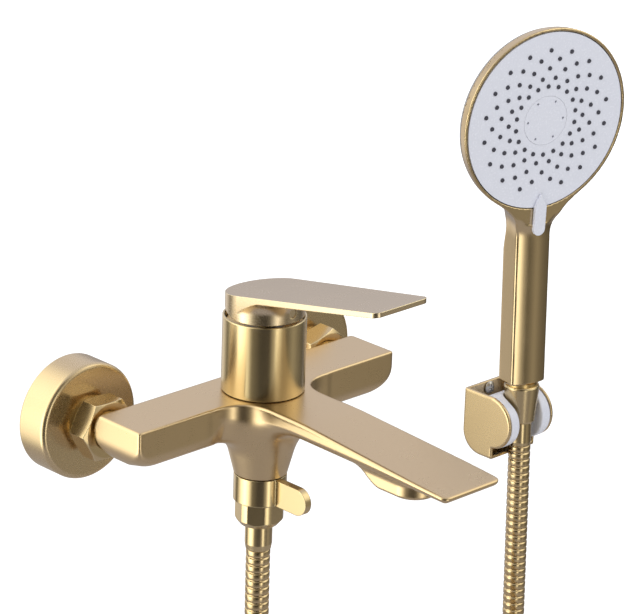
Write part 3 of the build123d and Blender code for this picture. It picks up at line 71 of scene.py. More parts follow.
# Shower hose, a metre and a half of gold plated strip wound into an interlocked
# tube. It drops out of the ferrule, is put away in a tied coil below the picture
# and hangs straight under the hand shower.
hose_across = 0.0125
hose_pitch = 0.0042
hose_facets = 28
coil_middle = Vector((0.1633, -0.062, -0.254))
coil_radius, coil_turns = 0.072, 2.25
coil_points_in_turn = 16
coil_reach = coil_radius / math.cos(math.pi / coil_points_in_turn)
coil_climb = 0.013507
hose_route = [
    (0, -0.062, -0.0744), (0, -0.062, -0.140), (0.005, -0.062, -0.205), (0.029, -0.062, -0.262),
    (0.070, -0.062, -0.303), (0.118, -0.062, -0.326),
]
for point in range(1, int(coil_points_in_turn * coil_turns)):
    turned = (point - 0.5) / coil_points_in_turn
    hose_route.append((
        coil_middle.x + coil_reach * math.sin(2 * math.pi * turned),
        coil_middle.y + coil_climb * turned,
        coil_middle.z - coil_reach * math.cos(2 * math.pi * turned),
    ))
hose_route += [
    (0.2353, -0.03161, -0.254), (0.2353, -0.03127, -0.241), (0.2353, -0.02930, -0.166),
    (0.2353, -0.02737, -0.0920),
]


def line_through(points):
    """Close points along the smooth line that a hose takes by way of these."""
    drawn = bpy.data.curves.new("hose_line", "CURVE")
    drawn.dimensions = "3D"
    drawn.resolution_u = 10
    spline = drawn.splines.new("NURBS")
    spline.points.add(len(points) - 1)
    for point, place in zip(spline.points, points):
        point.co = (*place, 1)
    spline.order_u = 3
    spline.use_endpoint_u = True
    holder = bpy.data.objects.new("hose_line", drawn)
    mesh = bpy.data.meshes.new_from_object(holder)
    line = [vertex.co.copy() for vertex in mesh.vertices]
    bpy.data.objects.remove(holder)
    bpy.data.curves.remove(drawn)
    bpy.data.meshes.remove(mesh)
    return line


def ribbed_tube(name, line, pitch, section, sides):
    """A tube along a line whose radius repeats the section once in each pitch."""
    reached = [0.0]
    for before, after in zip(line, line[1:]):
        reached.append(reached[-1] + (after - before).length)
    ribs = round(reached[-1] / pitch)
    stations = [
        ((rib + share) * reached[-1] / ribs, radius)
        for rib in range(ribs) for share, radius in section
    ] + [(reached[-1], section[0][1])]
    form = bmesh.new()
    rings, at = [], 0
    ahead = (line[1] - line[0]).normalized()
    side = ahead.orthogonal().normalized()
    for distance, radius in stations:
        while at < len(line) - 2 and reached[at + 1] < distance:
            at += 1
        share = (distance - reached[at]) / (reached[at + 1] - reached[at])
        centre = line[at].lerp(line[at + 1], share)
        turned = (line[at + 1] - line[at]).normalized()
        if at + 2 < len(line):
            beyond = (line[at + 2] - line[at + 1]).normalized()
            turned = turned.lerp(beyond, share * 0.5).normalized()
        side = ahead.rotation_difference(turned) @ side
        side = (side - turned * side.dot(turned)).normalized()
        ahead = turned
        third = ahead.cross(side)
        rings.append([
            form.verts.new(centre + (side * math.cos(angle) + third * math.sin(angle)) * radius)
            for angle in (2 * math.pi * k / sides for k in range(sides))
        ])
    for ring, following in zip(rings, rings[1:]):
        for k in range(sides):
            beside = (k + 1) % sides
            form.faces.new((ring[k], ring[beside], following[beside], following[k]))
    form.faces.new(list(reversed(rings[0])))
    form.faces.new(rings[-1])
    mesh = bpy.data.meshes.new(name)
    form.to_mesh(mesh)
    form.free()
    mesh.shade_smooth()
    piece = bpy.data.objects.new(name, mesh)
    bpy.context.scene.collection.objects.link(piece)
    return piece


class Look:
    """A value in a finish's nodes. Sums on it are Math nodes in that finish."""

    def __init__(self, tree, socket=None):
        self.tree, self.socket = tree, socket

    def node(self, kind, settings=None, sockets=None, out=0):
        made = self.tree.nodes.new("ShaderNode" + kind)
        for name, value in (settings or {}).items():
            if name == "stops":
                while len(made.color_ramp.elements) < len(value):
                    made.color_ramp.elements.new(0.5)
                for stop, (place, colour) in zip(made.color_ramp.elements, value):
                    stop.position, stop.color = place, colour
            else:
                setattr(made, name, value)
        for name, value in (sockets or {}).items():
            if isinstance(value, Look):
                self.tree.links.new(value.socket, made.inputs[name])
            else:
                made.inputs[name].default_value = value
        return Look(self.tree, made.outputs[out])

    def sum(self, operation, first, second):
        return self.node("Math", {"operation": operation}, {0: first, 1: second})

    def __add__(self, other): return self.sum("ADD", self, other)
    def __radd__(self, other): return self.sum("ADD", other, self)
    def __sub__(self, other): return self.sum("SUBTRACT", self, other)
    def __rsub__(self, other): return self.sum("SUBTRACT", other, self)
    def __mul__(self, other): return self.sum("MULTIPLY", self, other)
    def __rmul__(self, other): return self.sum("MULTIPLY", other, self)


def between(share, first, second):
    """A colour from the first to the second, by a share from 0 to 1."""
    return share.node("Mix", {"data_type": "RGBA"}, {0: share, 6: first, 7: second}, out=2)


def new_finish(name, **constants):
    """A material, its shader with these constants, and a first value for its sums."""
    finish = bpy.data.materials.new(name)
    finish.use_nodes = True
    shader = finish.node_tree.nodes["Principled BSDF"]
    for socket, value in constants.items():
        shader.inputs[socket.replace("_", " ")].default_value = value
    place = Look(finish.node_tree).node("TexCoord", out=3)
    return finish, shader, place


def feed(shader, **values):
    for socket, value in values.items():
        value.tree.links.new(value.socket, shader.inputs[socket.replace("_", " ")])


def brushed_gold(name, deep, pale, dullness, grain, edge=0.0006, turned=0.0):
    """Gold plate brushed along one way, with a painted highlight of pale gold along its edges. The
    grain is the hairs in a metre each way, and turned is how far they draw a shine across."""
    # Painted highlight: a pale gold that the edges are mixed toward, so that they look lit.
    edge_highlight_colour, edge_highlight_gain = (0.95, 0.84, 0.58, 1), 5.0
    hair_depth, clouds_in_metre = 0.000004, 60.0
    finish, shader, place = new_finish(
        name, Metallic=1.0, Anisotropic=turned, Anisotropic_Rotation=0.25)
    hairs = place.node("Mapping", sockets={0: place, 3: grain})
    hairs = hairs.node("TexNoise", sockets={
        0: hairs, "Scale": 1.0, "Detail": 3.0, "Roughness": 0.6})
    cloud = place.node("TexNoise", sockets={0: place, "Scale": clouds_in_metre, "Detail": 2.0})
    rounded = place.node("Bevel", {"samples": 6}, {"Radius": edge})
    flat = place.node("NewGeometry", out=1)
    along = rounded.node("VectorMath", {"operation": "DOT_PRODUCT"}, {0: rounded, 1: flat}, out=1)
    # Painted highlight: where the bevel's normal turns from the flat one, the colour goes pale
    # gold.
    edge_highlight_share = rounded.node("Math", {"operation": "MULTIPLY", "use_clamp": True},
                          {0: 1 - along, 1: edge_highlight_gain})
    gold_with_edge_highlight = between(edge_highlight_share, between(cloud * 0.5 + hairs * 0.5, deep, pale), edge_highlight_colour)
    bump = place.node("Bump", sockets={
        "Strength": 0.3, "Distance": hair_depth, "Height": hairs, "Normal": rounded})
    feed(shader, Base_Color=gold_with_edge_highlight, Normal=bump,
         Roughness=dullness + (hairs - 0.5) * 0.08 + (cloud - 0.5) * 0.05)
    return finish


def dress(finish, *names):
    """Gives the named pieces of the mixer a finish in place of their plain one."""
    for name in names:
        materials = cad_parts[name].data.materials
        materials.clear()
        materials.append(finish)


hose_line = line_through([Vector(place) for place in hose_route])
hose_section = (
    (0.00, 0.00545), (0.06, 0.00550), (0.11, 0.00600), (0.20, 0.00622), (0.34, hose_across / 2),
    (0.66, hose_across / 2), (0.80, 0.00622), (0.89, 0.00600), (0.94, 0.00550),
)
hose = ribbed_tube("shower_hose", hose_line, hose_pitch, hose_section, hose_facets)
strip_gold = brushed_gold("strip_gold", (0.55, 0.43, 0.26, 1), (0.66, 0.53, 0.34, 1),
                          0.20, (900, 900, 900))
hose.data.materials.append(strip_gold)
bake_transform(hose)
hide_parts("hose_lower", "hose_coil", "hose_upper")

# Band round the coil, a strip of soft black rubber with thick rounded edges, moulded
# flat and drawn round the three passes of the hose to hold them together.
band = bmesh.new()
band_low, band_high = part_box("hose_tie")
band_middle = (band_low + band_high) / 2
band_steps, band_thickness = 64, 0.0015
half_run = (band_high.y - band_low.y - (band_high.z - band_low.z)) / 2
outer = (band_high.z - band_low.z) / 2
inner = outer - band_thickness
band_section = (
    (-1, 0.25), (-0.94, 0.85), (-0.8, 1), (-0.3, 0.94), (0.3, 0.94), (0.8, 1),
    (0.94, 0.85), (1, 0.25), (0.9, 0), (-0.9, 0),
)
band_ring = []
for step in range(band_steps):
    turned = 2 * math.pi * step / band_steps
    run = half_run if math.cos(turned) > 0 else -half_run
    around = []
    for share, lift in band_section:
        radius = inner + (outer - inner) * lift
        around.append(band.verts.new((
            band_middle.x + share * (band_high.x - band_low.x) / 2,
            band_middle.y + run + radius * math.cos(turned),
            band_middle.z + radius * math.sin(turned),
        )))
    band_ring.append(around)
for around, following in zip(band_ring, band_ring[1:] + band_ring[:1]):
    for k in range(len(band_section)):
        beside = (k + 1) % len(band_section)
        band.faces.new((around[k], around[beside], following[beside], following[k]))
band_mesh = bpy.data.meshes.new("coil_band")
band.to_mesh(band_mesh)
band.free()
band_mesh.shade_smooth()
coil_band = bpy.data.objects.new("coil_band", band_mesh)
bpy.context.scene.collection.objects.link(coil_band)
soft_rubber, shader, place = new_finish("soft_rubber", IOR=1.5)
dust = place.node("TexNoise", sockets={0: place, "Scale": 700.0, "Detail": 5.0})
feed(shader, Base_Color=between(dust, (0.018, 0.018, 0.019, 1), (0.045, 0.044, 0.043, 1)),
     Roughness=0.62 + (dust - 0.5) * 0.25,
     Normal=place.node("Bump", sockets={"Strength": 0.4, "Distance": 0.00004, "Height": dust}))
band_mesh.materials.append(soft_rubber)
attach(coil_band, "fixture")
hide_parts("hose_tie")

# Unions and nipples, turned from brass bar. The unions have tapered threads that
# go into the wall, and eccentric bodies that set the mixer level.
turned_brass, shader, place = new_finish("turned_brass", Metallic=1.0)
lathe = place.node("Mapping", sockets={0: place, 3: (300, 5200, 300)})
lathe = lathe.node("TexNoise", sockets={0: lathe, "Scale": 1.0, "Detail": 2.0})
ridge = place.node("TexWave", {"bands_direction": "Y", "wave_profile": "TRI"},
                   {0: place, "Scale": 87.0, "Distortion": 0.0})
depth_in = place.node("SeparateXYZ", sockets={0: place}, out=1)
threaded = place.node("Math", {"operation": "GREATER_THAN"}, {0: depth_in, 1: 0.0005})
tarnish = place.node("TexNoise", sockets={0: place, "Scale": 140.0, "Detail": 4.0})
feed(shader, Base_Color=between(tarnish, (0.52, 0.36, 0.15, 1), (0.78, 0.60, 0.32, 1)),
     Roughness=0.28 + (tarnish - 0.5) * 0.2,
     Normal=place.node("Bump", sockets={"Strength": 1.0, "Distance": 0.0009,
                                        "Height": ridge * threaded + lathe * 0.03}))
dress(turned_brass, "union_left", "union_right", "nipple_left", "nipple_right", "stem",
      "cartridge_nut", "outlet_nipple", "diverter_spool", "inlet_insert")

# Washers and ring seals, moulded from the same black rubber as the band. The washers
# lie under their nuts, and the rings are pressed into their grooves.
dress(soft_rubber, "union_washer_left", "union_washer_right", "aerator_seal", "base_seal",
      "diverter_seals", "hose_washer", "cone_washer")

# Check valves, cartridge and water chamber, moulded in grey acetal with the fine
# flow marks of their tools.
acetal, shader, place = new_finish("acetal", IOR=1.48)
flow = place.node("TexNoise", sockets={0: place, "Scale": 220.0, "Detail": 6.0, "Distortion": 0.8})
feed(shader, Base_Color=between(flow, (0.27, 0.28, 0.30, 1), (0.40, 0.41, 0.43, 1)),
     Roughness=0.42 + (flow - 0.5) * 0.2,
     Normal=place.node("Bump", sockets={"Strength": 0.3, "Distance": 0.00003, "Height": flow}))
dress(acetal, "check_valve_left", "check_valve_right", "cartridge_base", "cartridge_housing",
      "rotor", "disc_carrier", "chamber_plate", "aerator_insert")

# Ceramic discs, pressed and sintered white alumina, lapped until they shine. They
# lie face to face and let water through where their ports meet.
alumina, shader, place = new_finish("alumina", IOR=1.77)
pores = place.node("TexVoronoi", sockets={0: place, "Scale": 3000.0})
feed(shader, Base_Color=between(pores, (0.70, 0.68, 0.62, 1), (0.84, 0.83, 0.79, 1)),
     Roughness=0.14 + pores * 0.1)
dress(alumina, "fixed_disc", "moving_disc")

# Screws and pins, bright drawn steel with the marks of the die along them. They hold
# the stem in the rotor, the lever on the stem and the collar on the spool.
drawn_steel, shader, place = new_finish("drawn_steel", Metallic=1.0)
die = place.node("TexNoise", sockets={0: place, "Scale": 1800.0, "Detail": 3.0})
feed(shader, Base_Color=between(die, (0.44, 0.44, 0.45, 1), (0.66, 0.66, 0.67, 1)),
     Roughness=0.3 + (die - 0.5) * 0.2,
     Normal=place.node("Bump", sockets={"Strength": 0.4, "Distance": 0.00003, "Height": die}))
dress(drawn_steel, "stem_pin", "lever_screw", "collar_screw")

# Rosettes, cups spun from brass sheet, brushed round and gold plated. They slide over
# the unions and cover the holes in the wall.
cup_gold = brushed_gold("cup_gold", (0.63, 0.505, 0.325, 1), (0.68, 0.55, 0.365, 1),
                        0.27, (2600, 5200, 2600))
dress(cup_gold, "rosette_left", "rosette_right")

# Union nuts, hexagon brass bar, brushed and plated, with their corners turned off.
# They draw the nipples of the body against the unions.
nut_gold = brushed_gold("nut_gold", (0.62, 0.49, 0.30, 1), (0.68, 0.545, 0.34, 1),
                        0.18, (5200, 2600, 5200))
dress(nut_gold, "union_nut_left", "union_nut_right")

# Body, one brass casting with its blade of a spout. The bar is flat on top and rolls
# under at its ends and front, and the boss for the hose grows down out of it. It is
# brushed and plated in satin gold. Its sizes and all that follow are in millimetres.
half_depth = 12.5
bar_end, bar_front = 86.8, 68.4
end_roll, front_roll = 14.5, 12.0
blade_length, spout_tip = 139.6, 208.0
blade_half, blade_spread = 18.2, 2.3
blade_belly, blade_thinning = 3.9, 1.2
blade_corner, blade_fillet = 5.0, 19.0
fall_start, fall_bend, fall_slope = 101.3, 17.4, 0.0671
axis_ahead, aerator_ahead, inlet_aside = 62, 168, 75
neck_radius, neck_top = 19.6, 48
boss_radius, boss_taper, boss_foot = 13.5, 0.2583, 32.5
waist_radius, waist_down = 16.6, 20.5
flare_radius, flare_out, flare_down = 33.27, 48.81, 28.82
nose_radius, nose_down = 12.4, 7.7


def melt(first, second, width):
    """The lower of two measures, run together over a width."""
    share = numpy.clip(0.5 + 0.5 * (second - first) / width, 0, 1)
    return second * (1 - share) + first * share - width * share * (1 - share)


def pare(first, second, width):
    """The higher of two measures, run together over a width."""
    return -melt(-first, -second, width)


def rolled(along, down, radius):
    """Measure of a side and a bottom that meet in a quarter round."""
    along, down = along + radius, down + radius
    outside = numpy.hypot(numpy.maximum(along, 0), numpy.maximum(down, 0))
    return outside + numpy.minimum(numpy.maximum(along, down), 0) - radius


def ease(share):
    """A share from 0 to 1 that sets off and arrives gently."""
    share = numpy.clip(share, 0, 1)
    return share * share * (3 - 2 * share)


def mixer_body(x, y, z):
    """Millimetres outside the body's metal, below zero inside it."""
    wide, ahead = abs(x), -y
    along = numpy.clip((ahead - bar_front) / blade_length, 0, 1)
    half = blade_half + blade_spread * along
    plan = melt(pare(ahead - bar_front, wide - 92.0, 3.0),
                rolled(wide - half, ahead - spout_tip, blade_corner), blade_fillet)

    reach = bar_front + 3.0 * ease((32 - wide) / 10)
    lower = ease((5 - z) / 14)
    bar = pare(rolled(wide - bar_end, -half_depth - z, end_roll),
               rolled(ahead - reach, -half_depth - z, front_roll),
               1.8 + 7.0 * lower * ease((ahead - 50) / 10))
    under = blade_belly - blade_thinning * along

    out = numpy.hypot(x, y + axis_ahead)
    cone = (out - boss_radius - (z + boss_foot) * boss_taper) * 0.968
    flare = flare_radius - numpy.hypot(
        numpy.minimum(out, flare_out) - flare_out, z + flare_down)
    below_waist = (out - waist_radius) * 0.25 + (z + waist_down) * 0.968 < 0
    boss = numpy.where(below_waist, cone, flare)
    boss = numpy.maximum(pare(boss, -boss_foot - z, 0.7), wide - 36)
    form = melt(melt(bar, pare(under - z, wide - 34, 6.0), 9.0), boss, 8.0)

    sink = under - (under + nose_down) * ease((ahead - 134) / 23)
    nose = numpy.hypot(x, ahead - numpy.clip(ahead, 140, aerator_ahead)) - nose_radius
    form = melt(form, pare(nose, sink - z, 1.6), 4.0)
    form = pare(form, plan, 1.4 + 6.6 * ease((40 - wide) / 10) * ease((12 - z) / 8))

    sunk = numpy.maximum(z, -half_depth)
    form = pare(form, y - (-0.0419 * sunk * sunk + 0.28 * sunk - 34.45), 1.8)
    fall = (numpy.clip(ahead - fall_start, 0, fall_bend) ** 2 / (2 * fall_bend)
            + numpy.maximum(ahead - (fall_start + fall_bend), 0))
    form = pare(form, z - half_depth + fall_slope * fall, 1.4 + 1.0 * ease((ahead - 75) / 25))
    neck = pare(pare(out - neck_radius, z - neck_top, 0.6), 2 - z, 0.6)
    form = melt(form, neck, 0.3)

    inlet = numpy.hypot(wide - inlet_aside, z)
    outlet = numpy.hypot(x, y + aerator_ahead)
    for bore, end in (
        (out - 17.5, 6 - z), (out - 10.1, z + 12), (out - 7.1, z + 6),
        (inlet - 9.5, -44 - y), (outlet - 11.1, z + 0.4), (outlet - 7.0, z - 6.5),
    ):
        form = pare(form, -pare(bore, end, 0.3), 0.4)
    return form


def cast(name, low, high, step, form):
    """The skin of a form, one point in each cell that it crosses, settled onto it."""
    axes = [numpy.arange(least, most + step, step) for least, most in zip(low, high)]
    inside = form(*numpy.meshgrid(*axes, indexing="ij", sparse=True)) < 0
    across, deep, tall = (len(axis) - 1 for axis in axes)
    held = sum(
        inside[i:across + i, j:deep + j, k:tall + k].astype(int)
        for i in (0, 1) for j in (0, 1) for k in (0, 1))
    crossed = (held > 0) & (held < 8)
    number = numpy.full(held.shape, -1)
    number[crossed] = numpy.arange(crossed.sum())
    centres = numpy.array(low) + (numpy.argwhere(crossed) + 0.5) * step
    points = centres.copy()
    probe, rounds, least_slope = 0.05, 6, 0.1

    def slope():
        steps = numpy.eye(3) * probe
        return numpy.stack([
            (form(*(points + s).T) - form(*(points - s).T)) / (2 * probe) for s in steps], 1)

    for _ in range(rounds):
        lean = slope()
        steepness = numpy.maximum((lean ** 2).sum(1), least_slope)
        points = points - form(*points.T)[:, None] * lean / steepness[:, None]
        points = numpy.clip(points, centres - step, centres + step)
    faces = []
    for turn in range(3):
        one, other = (turn + 1) % 3, (turn + 2) % 3
        solid = numpy.moveaxis(inside, (turn, one, other), (0, 1, 2))
        cells = numpy.moveaxis(number, (turn, one, other), (0, 1, 2))
        change = solid[1:, 1:-1, 1:-1].astype(int) - solid[:-1, 1:-1, 1:-1]
        for sign in (1, -1):
            a, b, c = numpy.argwhere(change == sign).T
            ring = [cells[a, b, c], cells[a, b + 1, c], cells[a, b + 1, c + 1], cells[a, b, c + 1]]
            faces.append(numpy.stack(ring if sign < 0 else ring[::-1], 1))
    faces = numpy.concatenate(faces)
    mesh = bpy.data.meshes.new(name)
    mesh.from_pydata(points / 1000, [], faces)
    mesh.shade_smooth()
    lean = slope()
    mesh.normals_split_custom_set_from_vertices(lean / numpy.linalg.norm(lean, axis=1)[:, None])
    piece = bpy.data.objects.new(name, mesh)
    bpy.context.scene.collection.objects.link(piece)
    return piece


mixer_casting = cast("mixer_casting", (-89, -210, -34.5), (89, -31, 50), 0.8, mixer_body)
body_gold = brushed_gold("body_gold", (0.63, 0.49, 0.31, 1), (0.68, 0.535, 0.35, 1),
                         0.29, (500, 500, 5200))
mixer_casting.data.materials.append(body_gold)
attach(mixer_casting, "fixture")
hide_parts("body")
dress(body_gold, "aerator_housing")

# Sleeve over the cartridge, brass tube, turned thin and brushed round its girth. It
# goes over the neck of the body and hides the nut that holds the cartridge.
sleeve_gold = brushed_gold("sleeve_gold", (0.60, 0.49, 0.30, 1), (0.66, 0.545, 0.345, 1),
                           0.25, (500, 500, 6000), turned=0.85)
dress(sleeve_gold, "sleeve")

# Lever, a forged brass plate with a round hub, brushed along its length. A grub
# screw clamps it to the stem, under a plug plated like the lever.
lever_gold = brushed_gold("lever_gold", (0.64, 0.535, 0.40, 1), (0.68, 0.575, 0.435, 1),
                          0.26, (2600, 200, 2600))
dress(lever_gold, "lever", "lever_plug")

# Collar, hose nuts and ferrules, turned from brass bar and polished before plating.
# The collar turns by its tab, and the nuts hold the hose's two ends.
bright_gold = brushed_gold("bright_gold", (0.58, 0.465, 0.285, 1), (0.64, 0.52, 0.325, 1),
                           0.20, (500, 500, 5200), turned=0.7)
dress(bright_gold, "diverter_collar", "hose_nut", "ferrule_bottom", "cone_nut", "cone_ferrule")

# Hand shower shell, moulded in one piece and plated in satin gold. The handle has
# flat sides and spreads out under the head, a shallow dome with a plain rim.
shower_up = Vector((0, math.sin(math.radians(1.5)), math.cos(math.radians(1.5))))
shower_side = Vector((math.cos(math.radians(13)), -math.sin(math.radians(13)), 0))
shower_side = (shower_side - shower_up * shower_side.dot(shower_up)).normalized()
shower_front = shower_side.cross(shower_up)
foot_x, foot_y, foot_z = 235.3, -27, -78
handle_half, handle_bottom, handle_top = 11.2, 24, 150
handle_front, handle_back, handle_crown = 6, 7, 3
draw_start, draw_length, draw_depth = 101.6, 55.2, 8.9
head_front, head_up = 13.5, 178
head_cosine, head_sine = 0.99756, 0.06976
head_radius, head_side, dome_height = 52.4, 8, 11.5
cup_radius, cup_depth = 50.5, 9.5
hose_bore, bore_top = 6.6, 38


def shower_shell(x, y, z):
    """Millimetres outside the hand shower's shell, below zero inside it."""
    side, front, up = (
        (x - foot_x) * way.x + (y - foot_y) * way.y + (z - foot_z) * way.z
        for way in (shower_side, shower_front, shower_up))
    wide = abs(side)
    crown = 1 - numpy.minimum(wide / handle_half, 1) ** 2
    drawn = (handle_back + handle_crown * crown
             - draw_depth * numpy.clip((up - draw_start) / draw_length, 0, 1))
    grip = pare(pare(wide - handle_half, front - handle_front - 2.5 * crown, 1.0),
                -front - drawn, 1.0)
    grip = pare(grip, pare(handle_bottom - up, up - handle_top, 1.0), 0.8)

    spray = (front - head_front) * head_cosine - (up - head_up) * head_sine
    out = numpy.hypot(side, (front - head_front) * head_sine + (up - head_up) * head_cosine)
    dome = dome_height * (1 - numpy.minimum(out / 51.2, 1.3) ** 2.6)
    head = pare(out - head_radius + 0.15 * numpy.clip(-spray, 0, head_side),
                (-spray - head_side - dome) * 0.9, 3.0)
    form = melt(grip, head, 18.0)
    form = pare(form, spray - 30 * ease((119 - up) / 12), 0.8)
    form = pare(form, -numpy.maximum(out - cup_radius, -cup_depth - spray), 0.4)
    return pare(form, -pare(numpy.hypot(side, front) - hose_bore, up - bore_top, 0.3), 0.3)


hand_shower = cast("hand_shower", (176, -64, -57), (290, -2, 156), 0.9, shower_shell)
shell_gold = brushed_gold("shell_gold", (0.60, 0.48, 0.31, 1), (0.66, 0.53, 0.35, 1),
                          0.20, (500, 500, 3000))
hand_shower.data.materials.append(shell_gold)
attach(hand_shower, "handset")
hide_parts("handset_shell")

# Wall holder, a brass cover bent to a U and plated with the body. Its cheeks are
# round in front, and a short foot closes it below, behind the hose.
holder_middle, holder_half = 235.3, 18.25
holder_top, holder_bottom, holder_reach = -62, -99, 22.4
cheek_y, cheek_z, cheek_radius = -20.4, -77.2, 15.2
cover_sheet, cover_roll = 2, 13.0
pin_y, pin_z, pin_hole = -27, -78, 2.45
screw_hole = 2.1
screw_heights = {"upper": -66, "lower": -80}


def holder_cover(x, y, z):
    """Millimetres outside the holder's cover, below zero inside its sheet."""
    wide = abs(x - holder_middle)
    cheek = numpy.hypot(y - cheek_y, z - cheek_z) - cheek_radius
    plate = rolled(y, holder_bottom - z, cover_roll)
    plate = pare(pare(plate, -holder_reach - y, 0.8), z - holder_top, 0.8)
    form = pare(melt(cheek, plate, 1.0), wide - holder_half, 1.5)
    hollow = rolled(y + cover_sheet, holder_bottom + cover_sheet - z, cover_roll - cover_sheet)
    form = pare(form, -pare(hollow, wide - (holder_half - cover_sheet), 1.0), 0.7)
    pins = pare(numpy.hypot(y - pin_y, z - pin_z) - pin_hole, wide - 17.65, 0.1)
    for hole in (pins, *(numpy.hypot(x - holder_middle, z - height) - screw_hole
                         for height in screw_heights.values())):
        form = pare(form, -hole, 0.1)
    return form


holder_shell = cast("holder_shell", (216.5, -36.5, -99.5), (254.2, 0.6, -61.5), 0.45, holder_cover)
cover_gold = brushed_gold("cover_gold", (0.64, 0.50, 0.31, 1), (0.69, 0.55, 0.35, 1),
                          0.27, (500, 500, 5200), edge=0.0004)
holder_shell.data.materials.append(cover_gold)
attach(holder_shell, "fixture")
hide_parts("holder_bracket")


# Wall screws, pan headed, with a rolled thread and a cross in the head, driven
# through the cover's back plate. Only the front of each shank is made here.
shank_radius, thread_height, thread_pitch = 1.62, 0.26, 1.4
shank_end, head_seat = 6, 1
head_half, head_flat, head_squash = 4.6, 3.75, 2.2
cross_half, cross_reach, cross_floor = 0.45, 2.2, 3.0


def wall_screw(height):
    """The form of the screw that goes in at a height."""
    def form(x, y, z):
        x, z = x - holder_middle, z - height
        out = numpy.hypot(x, z)
        thread = numpy.cos(2 * math.pi * y / thread_pitch - numpy.arctan2(z, x))
        shank = pare(out - shank_radius - thread_height * thread,
                     pare(y - shank_end + out * 1.3, -3 - y, 0.2), 0.2)
        ball = numpy.sqrt(x * x + z * z + (y + head_seat) ** 2 * head_squash) - head_half
        head = pare(ball, pare(y + 2.05, out - head_flat, 0.5), 0.3)
        slots = [pare(abs(one) - cross_half, abs(other) - cross_reach, 0.2)
                 for one, other in ((x, z), (z, x))]
        cross = pare(numpy.minimum(*slots), y + cross_floor, 0.2)
        return pare(melt(shank, head, 0.2), -cross, 0.2)
    return form


for place_name, height in screw_heights.items():
    screw = cast("wall_screw_" + place_name, (231, -4.6, height - 4.2), (239.6, 6.6, height + 4.2),
                 0.22, wall_screw(height))
    screw.data.materials.append(drawn_steel)
    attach(screw, "fixture")
    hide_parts("wall_screws")

# Spray face, clip and selector, glossy white plastic with a trace of blue in it
# and the faint orange peel of a polished mould.
white_moulding, shader, place = new_finish("white_moulding", IOR=1.49)
peel = place.node("TexNoise", sockets={0: place, "Scale": 900.0, "Detail": 2.0})
rounded = place.node("Bevel", {"samples": 6}, {"Radius": 0.0004})
feed(shader, Base_Color=between(peel, (0.69, 0.71, 0.785, 1), (0.745, 0.76, 0.83, 1)),
     Roughness=0.26 + (peel - 0.5) * 0.12,
     Normal=place.node("Bump", sockets={"Strength": 0.25, "Distance": 0.00002, "Height": peel,
                                        "Normal": rounded}))
dress(white_moulding, "face_plate", "centre_disc", "selector_tab")


# Clip, two round white pads on a bridge, which turn on pins between the cheeks.
# The cone nut lies between the pads, against the hollow of the bridge.
pad_y, pad_z, pad_radius, pad_half = -20.5, -77.5, 15.0, 15.95
throat_half, throat_back = 9.4, 24
nut_seat, hose_lean = 10.45, 0.026
pin_radius, pin_start, pin_end = 2.4, 12, 17.15


def clip_pads(x, y, z):
    """Millimetres outside the clip, below zero inside it."""
    wide, leaned = abs(x - holder_middle), y - pin_y + (z - pin_z) * hose_lean
    form = pare(numpy.hypot(y - pad_y, z - pad_z) - pad_radius, wide - pad_half, 1.2)
    throat = pare(wide - throat_half, y + throat_back, 1.0)
    form = pare(form, -melt(throat, numpy.hypot(wide, leaned) - nut_seat, 1.0), 1.4)
    pins = pare(numpy.hypot(y - pin_y, z - pin_z) - pin_radius,
                pare(wide - pin_end, pin_start - wide, 0.1), 0.2)
    return melt(form, pins, 0.1)


holder_clip = cast("holder_clip", (217.6, -36.5, -93.5), (253, -4.5, -61.5), 0.45, clip_pads)
holder_clip.data.materials.append(white_moulding)
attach(holder_clip, "clip")
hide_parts("clip")

# Nozzles, one mat of soft grey silicone whose tips come through the spray face. It
# lies behind the face, against the chamber that feeds it.
silicone, shader, place = new_finish("silicone", IOR=1.42)
bloom = place.node("TexNoise", sockets={0: place, "Scale": 500.0, "Detail": 4.0})
feed(shader, Base_Color=between(bloom, (0.035, 0.036, 0.05, 1), (0.075, 0.075, 0.095, 1)),
     Roughness=0.34 + (bloom - 0.5) * 0.2)
dress(silicone, "nozzle_mat")

# Studio floor, a sheet of white card below everything, in a white room. The card
# glows where it is looked at or mirrored, and so it lights nothing itself.
floor_half, floor_height = 8, -0.42
floor_mesh = bpy.data.meshes.new("studio_floor")
floor_corners = [
    (x * floor_half, y * floor_half, floor_height) for x, y in ((-1, -1), (1, -1), (1, 1), (-1, 1))]
floor_mesh.from_pydata(floor_corners, [], [(0, 1, 2, 3)])
studio_floor = bpy.data.objects.new("studio_floor", floor_mesh)
bpy.context.scene.collection.objects.link(studio_floor)
card = bpy.data.materials.new("white_card")
card.use_nodes = True
shader = card.node_tree.nodes["Principled BSDF"]
seen = Look(card.node_tree).node("LightPath")
mirrored = Look(card.node_tree, seen.socket.node.outputs["Is Glossy Ray"])
through = Look(card.node_tree, seen.socket.node.outputs["Is Transmission Ray"])
shader.inputs["Emission Strength"].default_value = 1.0
paper = seen.node("TexNoise", sockets={"Scale": 40.0, "Detail": 5.0})
away = seen.node("TexCoord", out=3)
away = seen.node("VectorMath", {"operation": "LENGTH"}, {0: away}, out=1)
away = seen.node("MapRange", {"interpolation_type": "SMOOTHSTEP"}, {0: away, 1: 0.9, 2: 2.4})
card_glow = between(away, (0.40, 0.40, 0.40, 1), (1, 1, 1, 1))
feed(shader, Base_Color=between(paper, (0.80, 0.80, 0.80, 1), (0.84, 0.84, 0.84, 1)),
     Emission_Color=between(seen + mirrored + through, (0, 0, 0, 1), card_glow))
shader.inputs["Roughness"].default_value = 0.9
floor_mesh.materials.append(card)

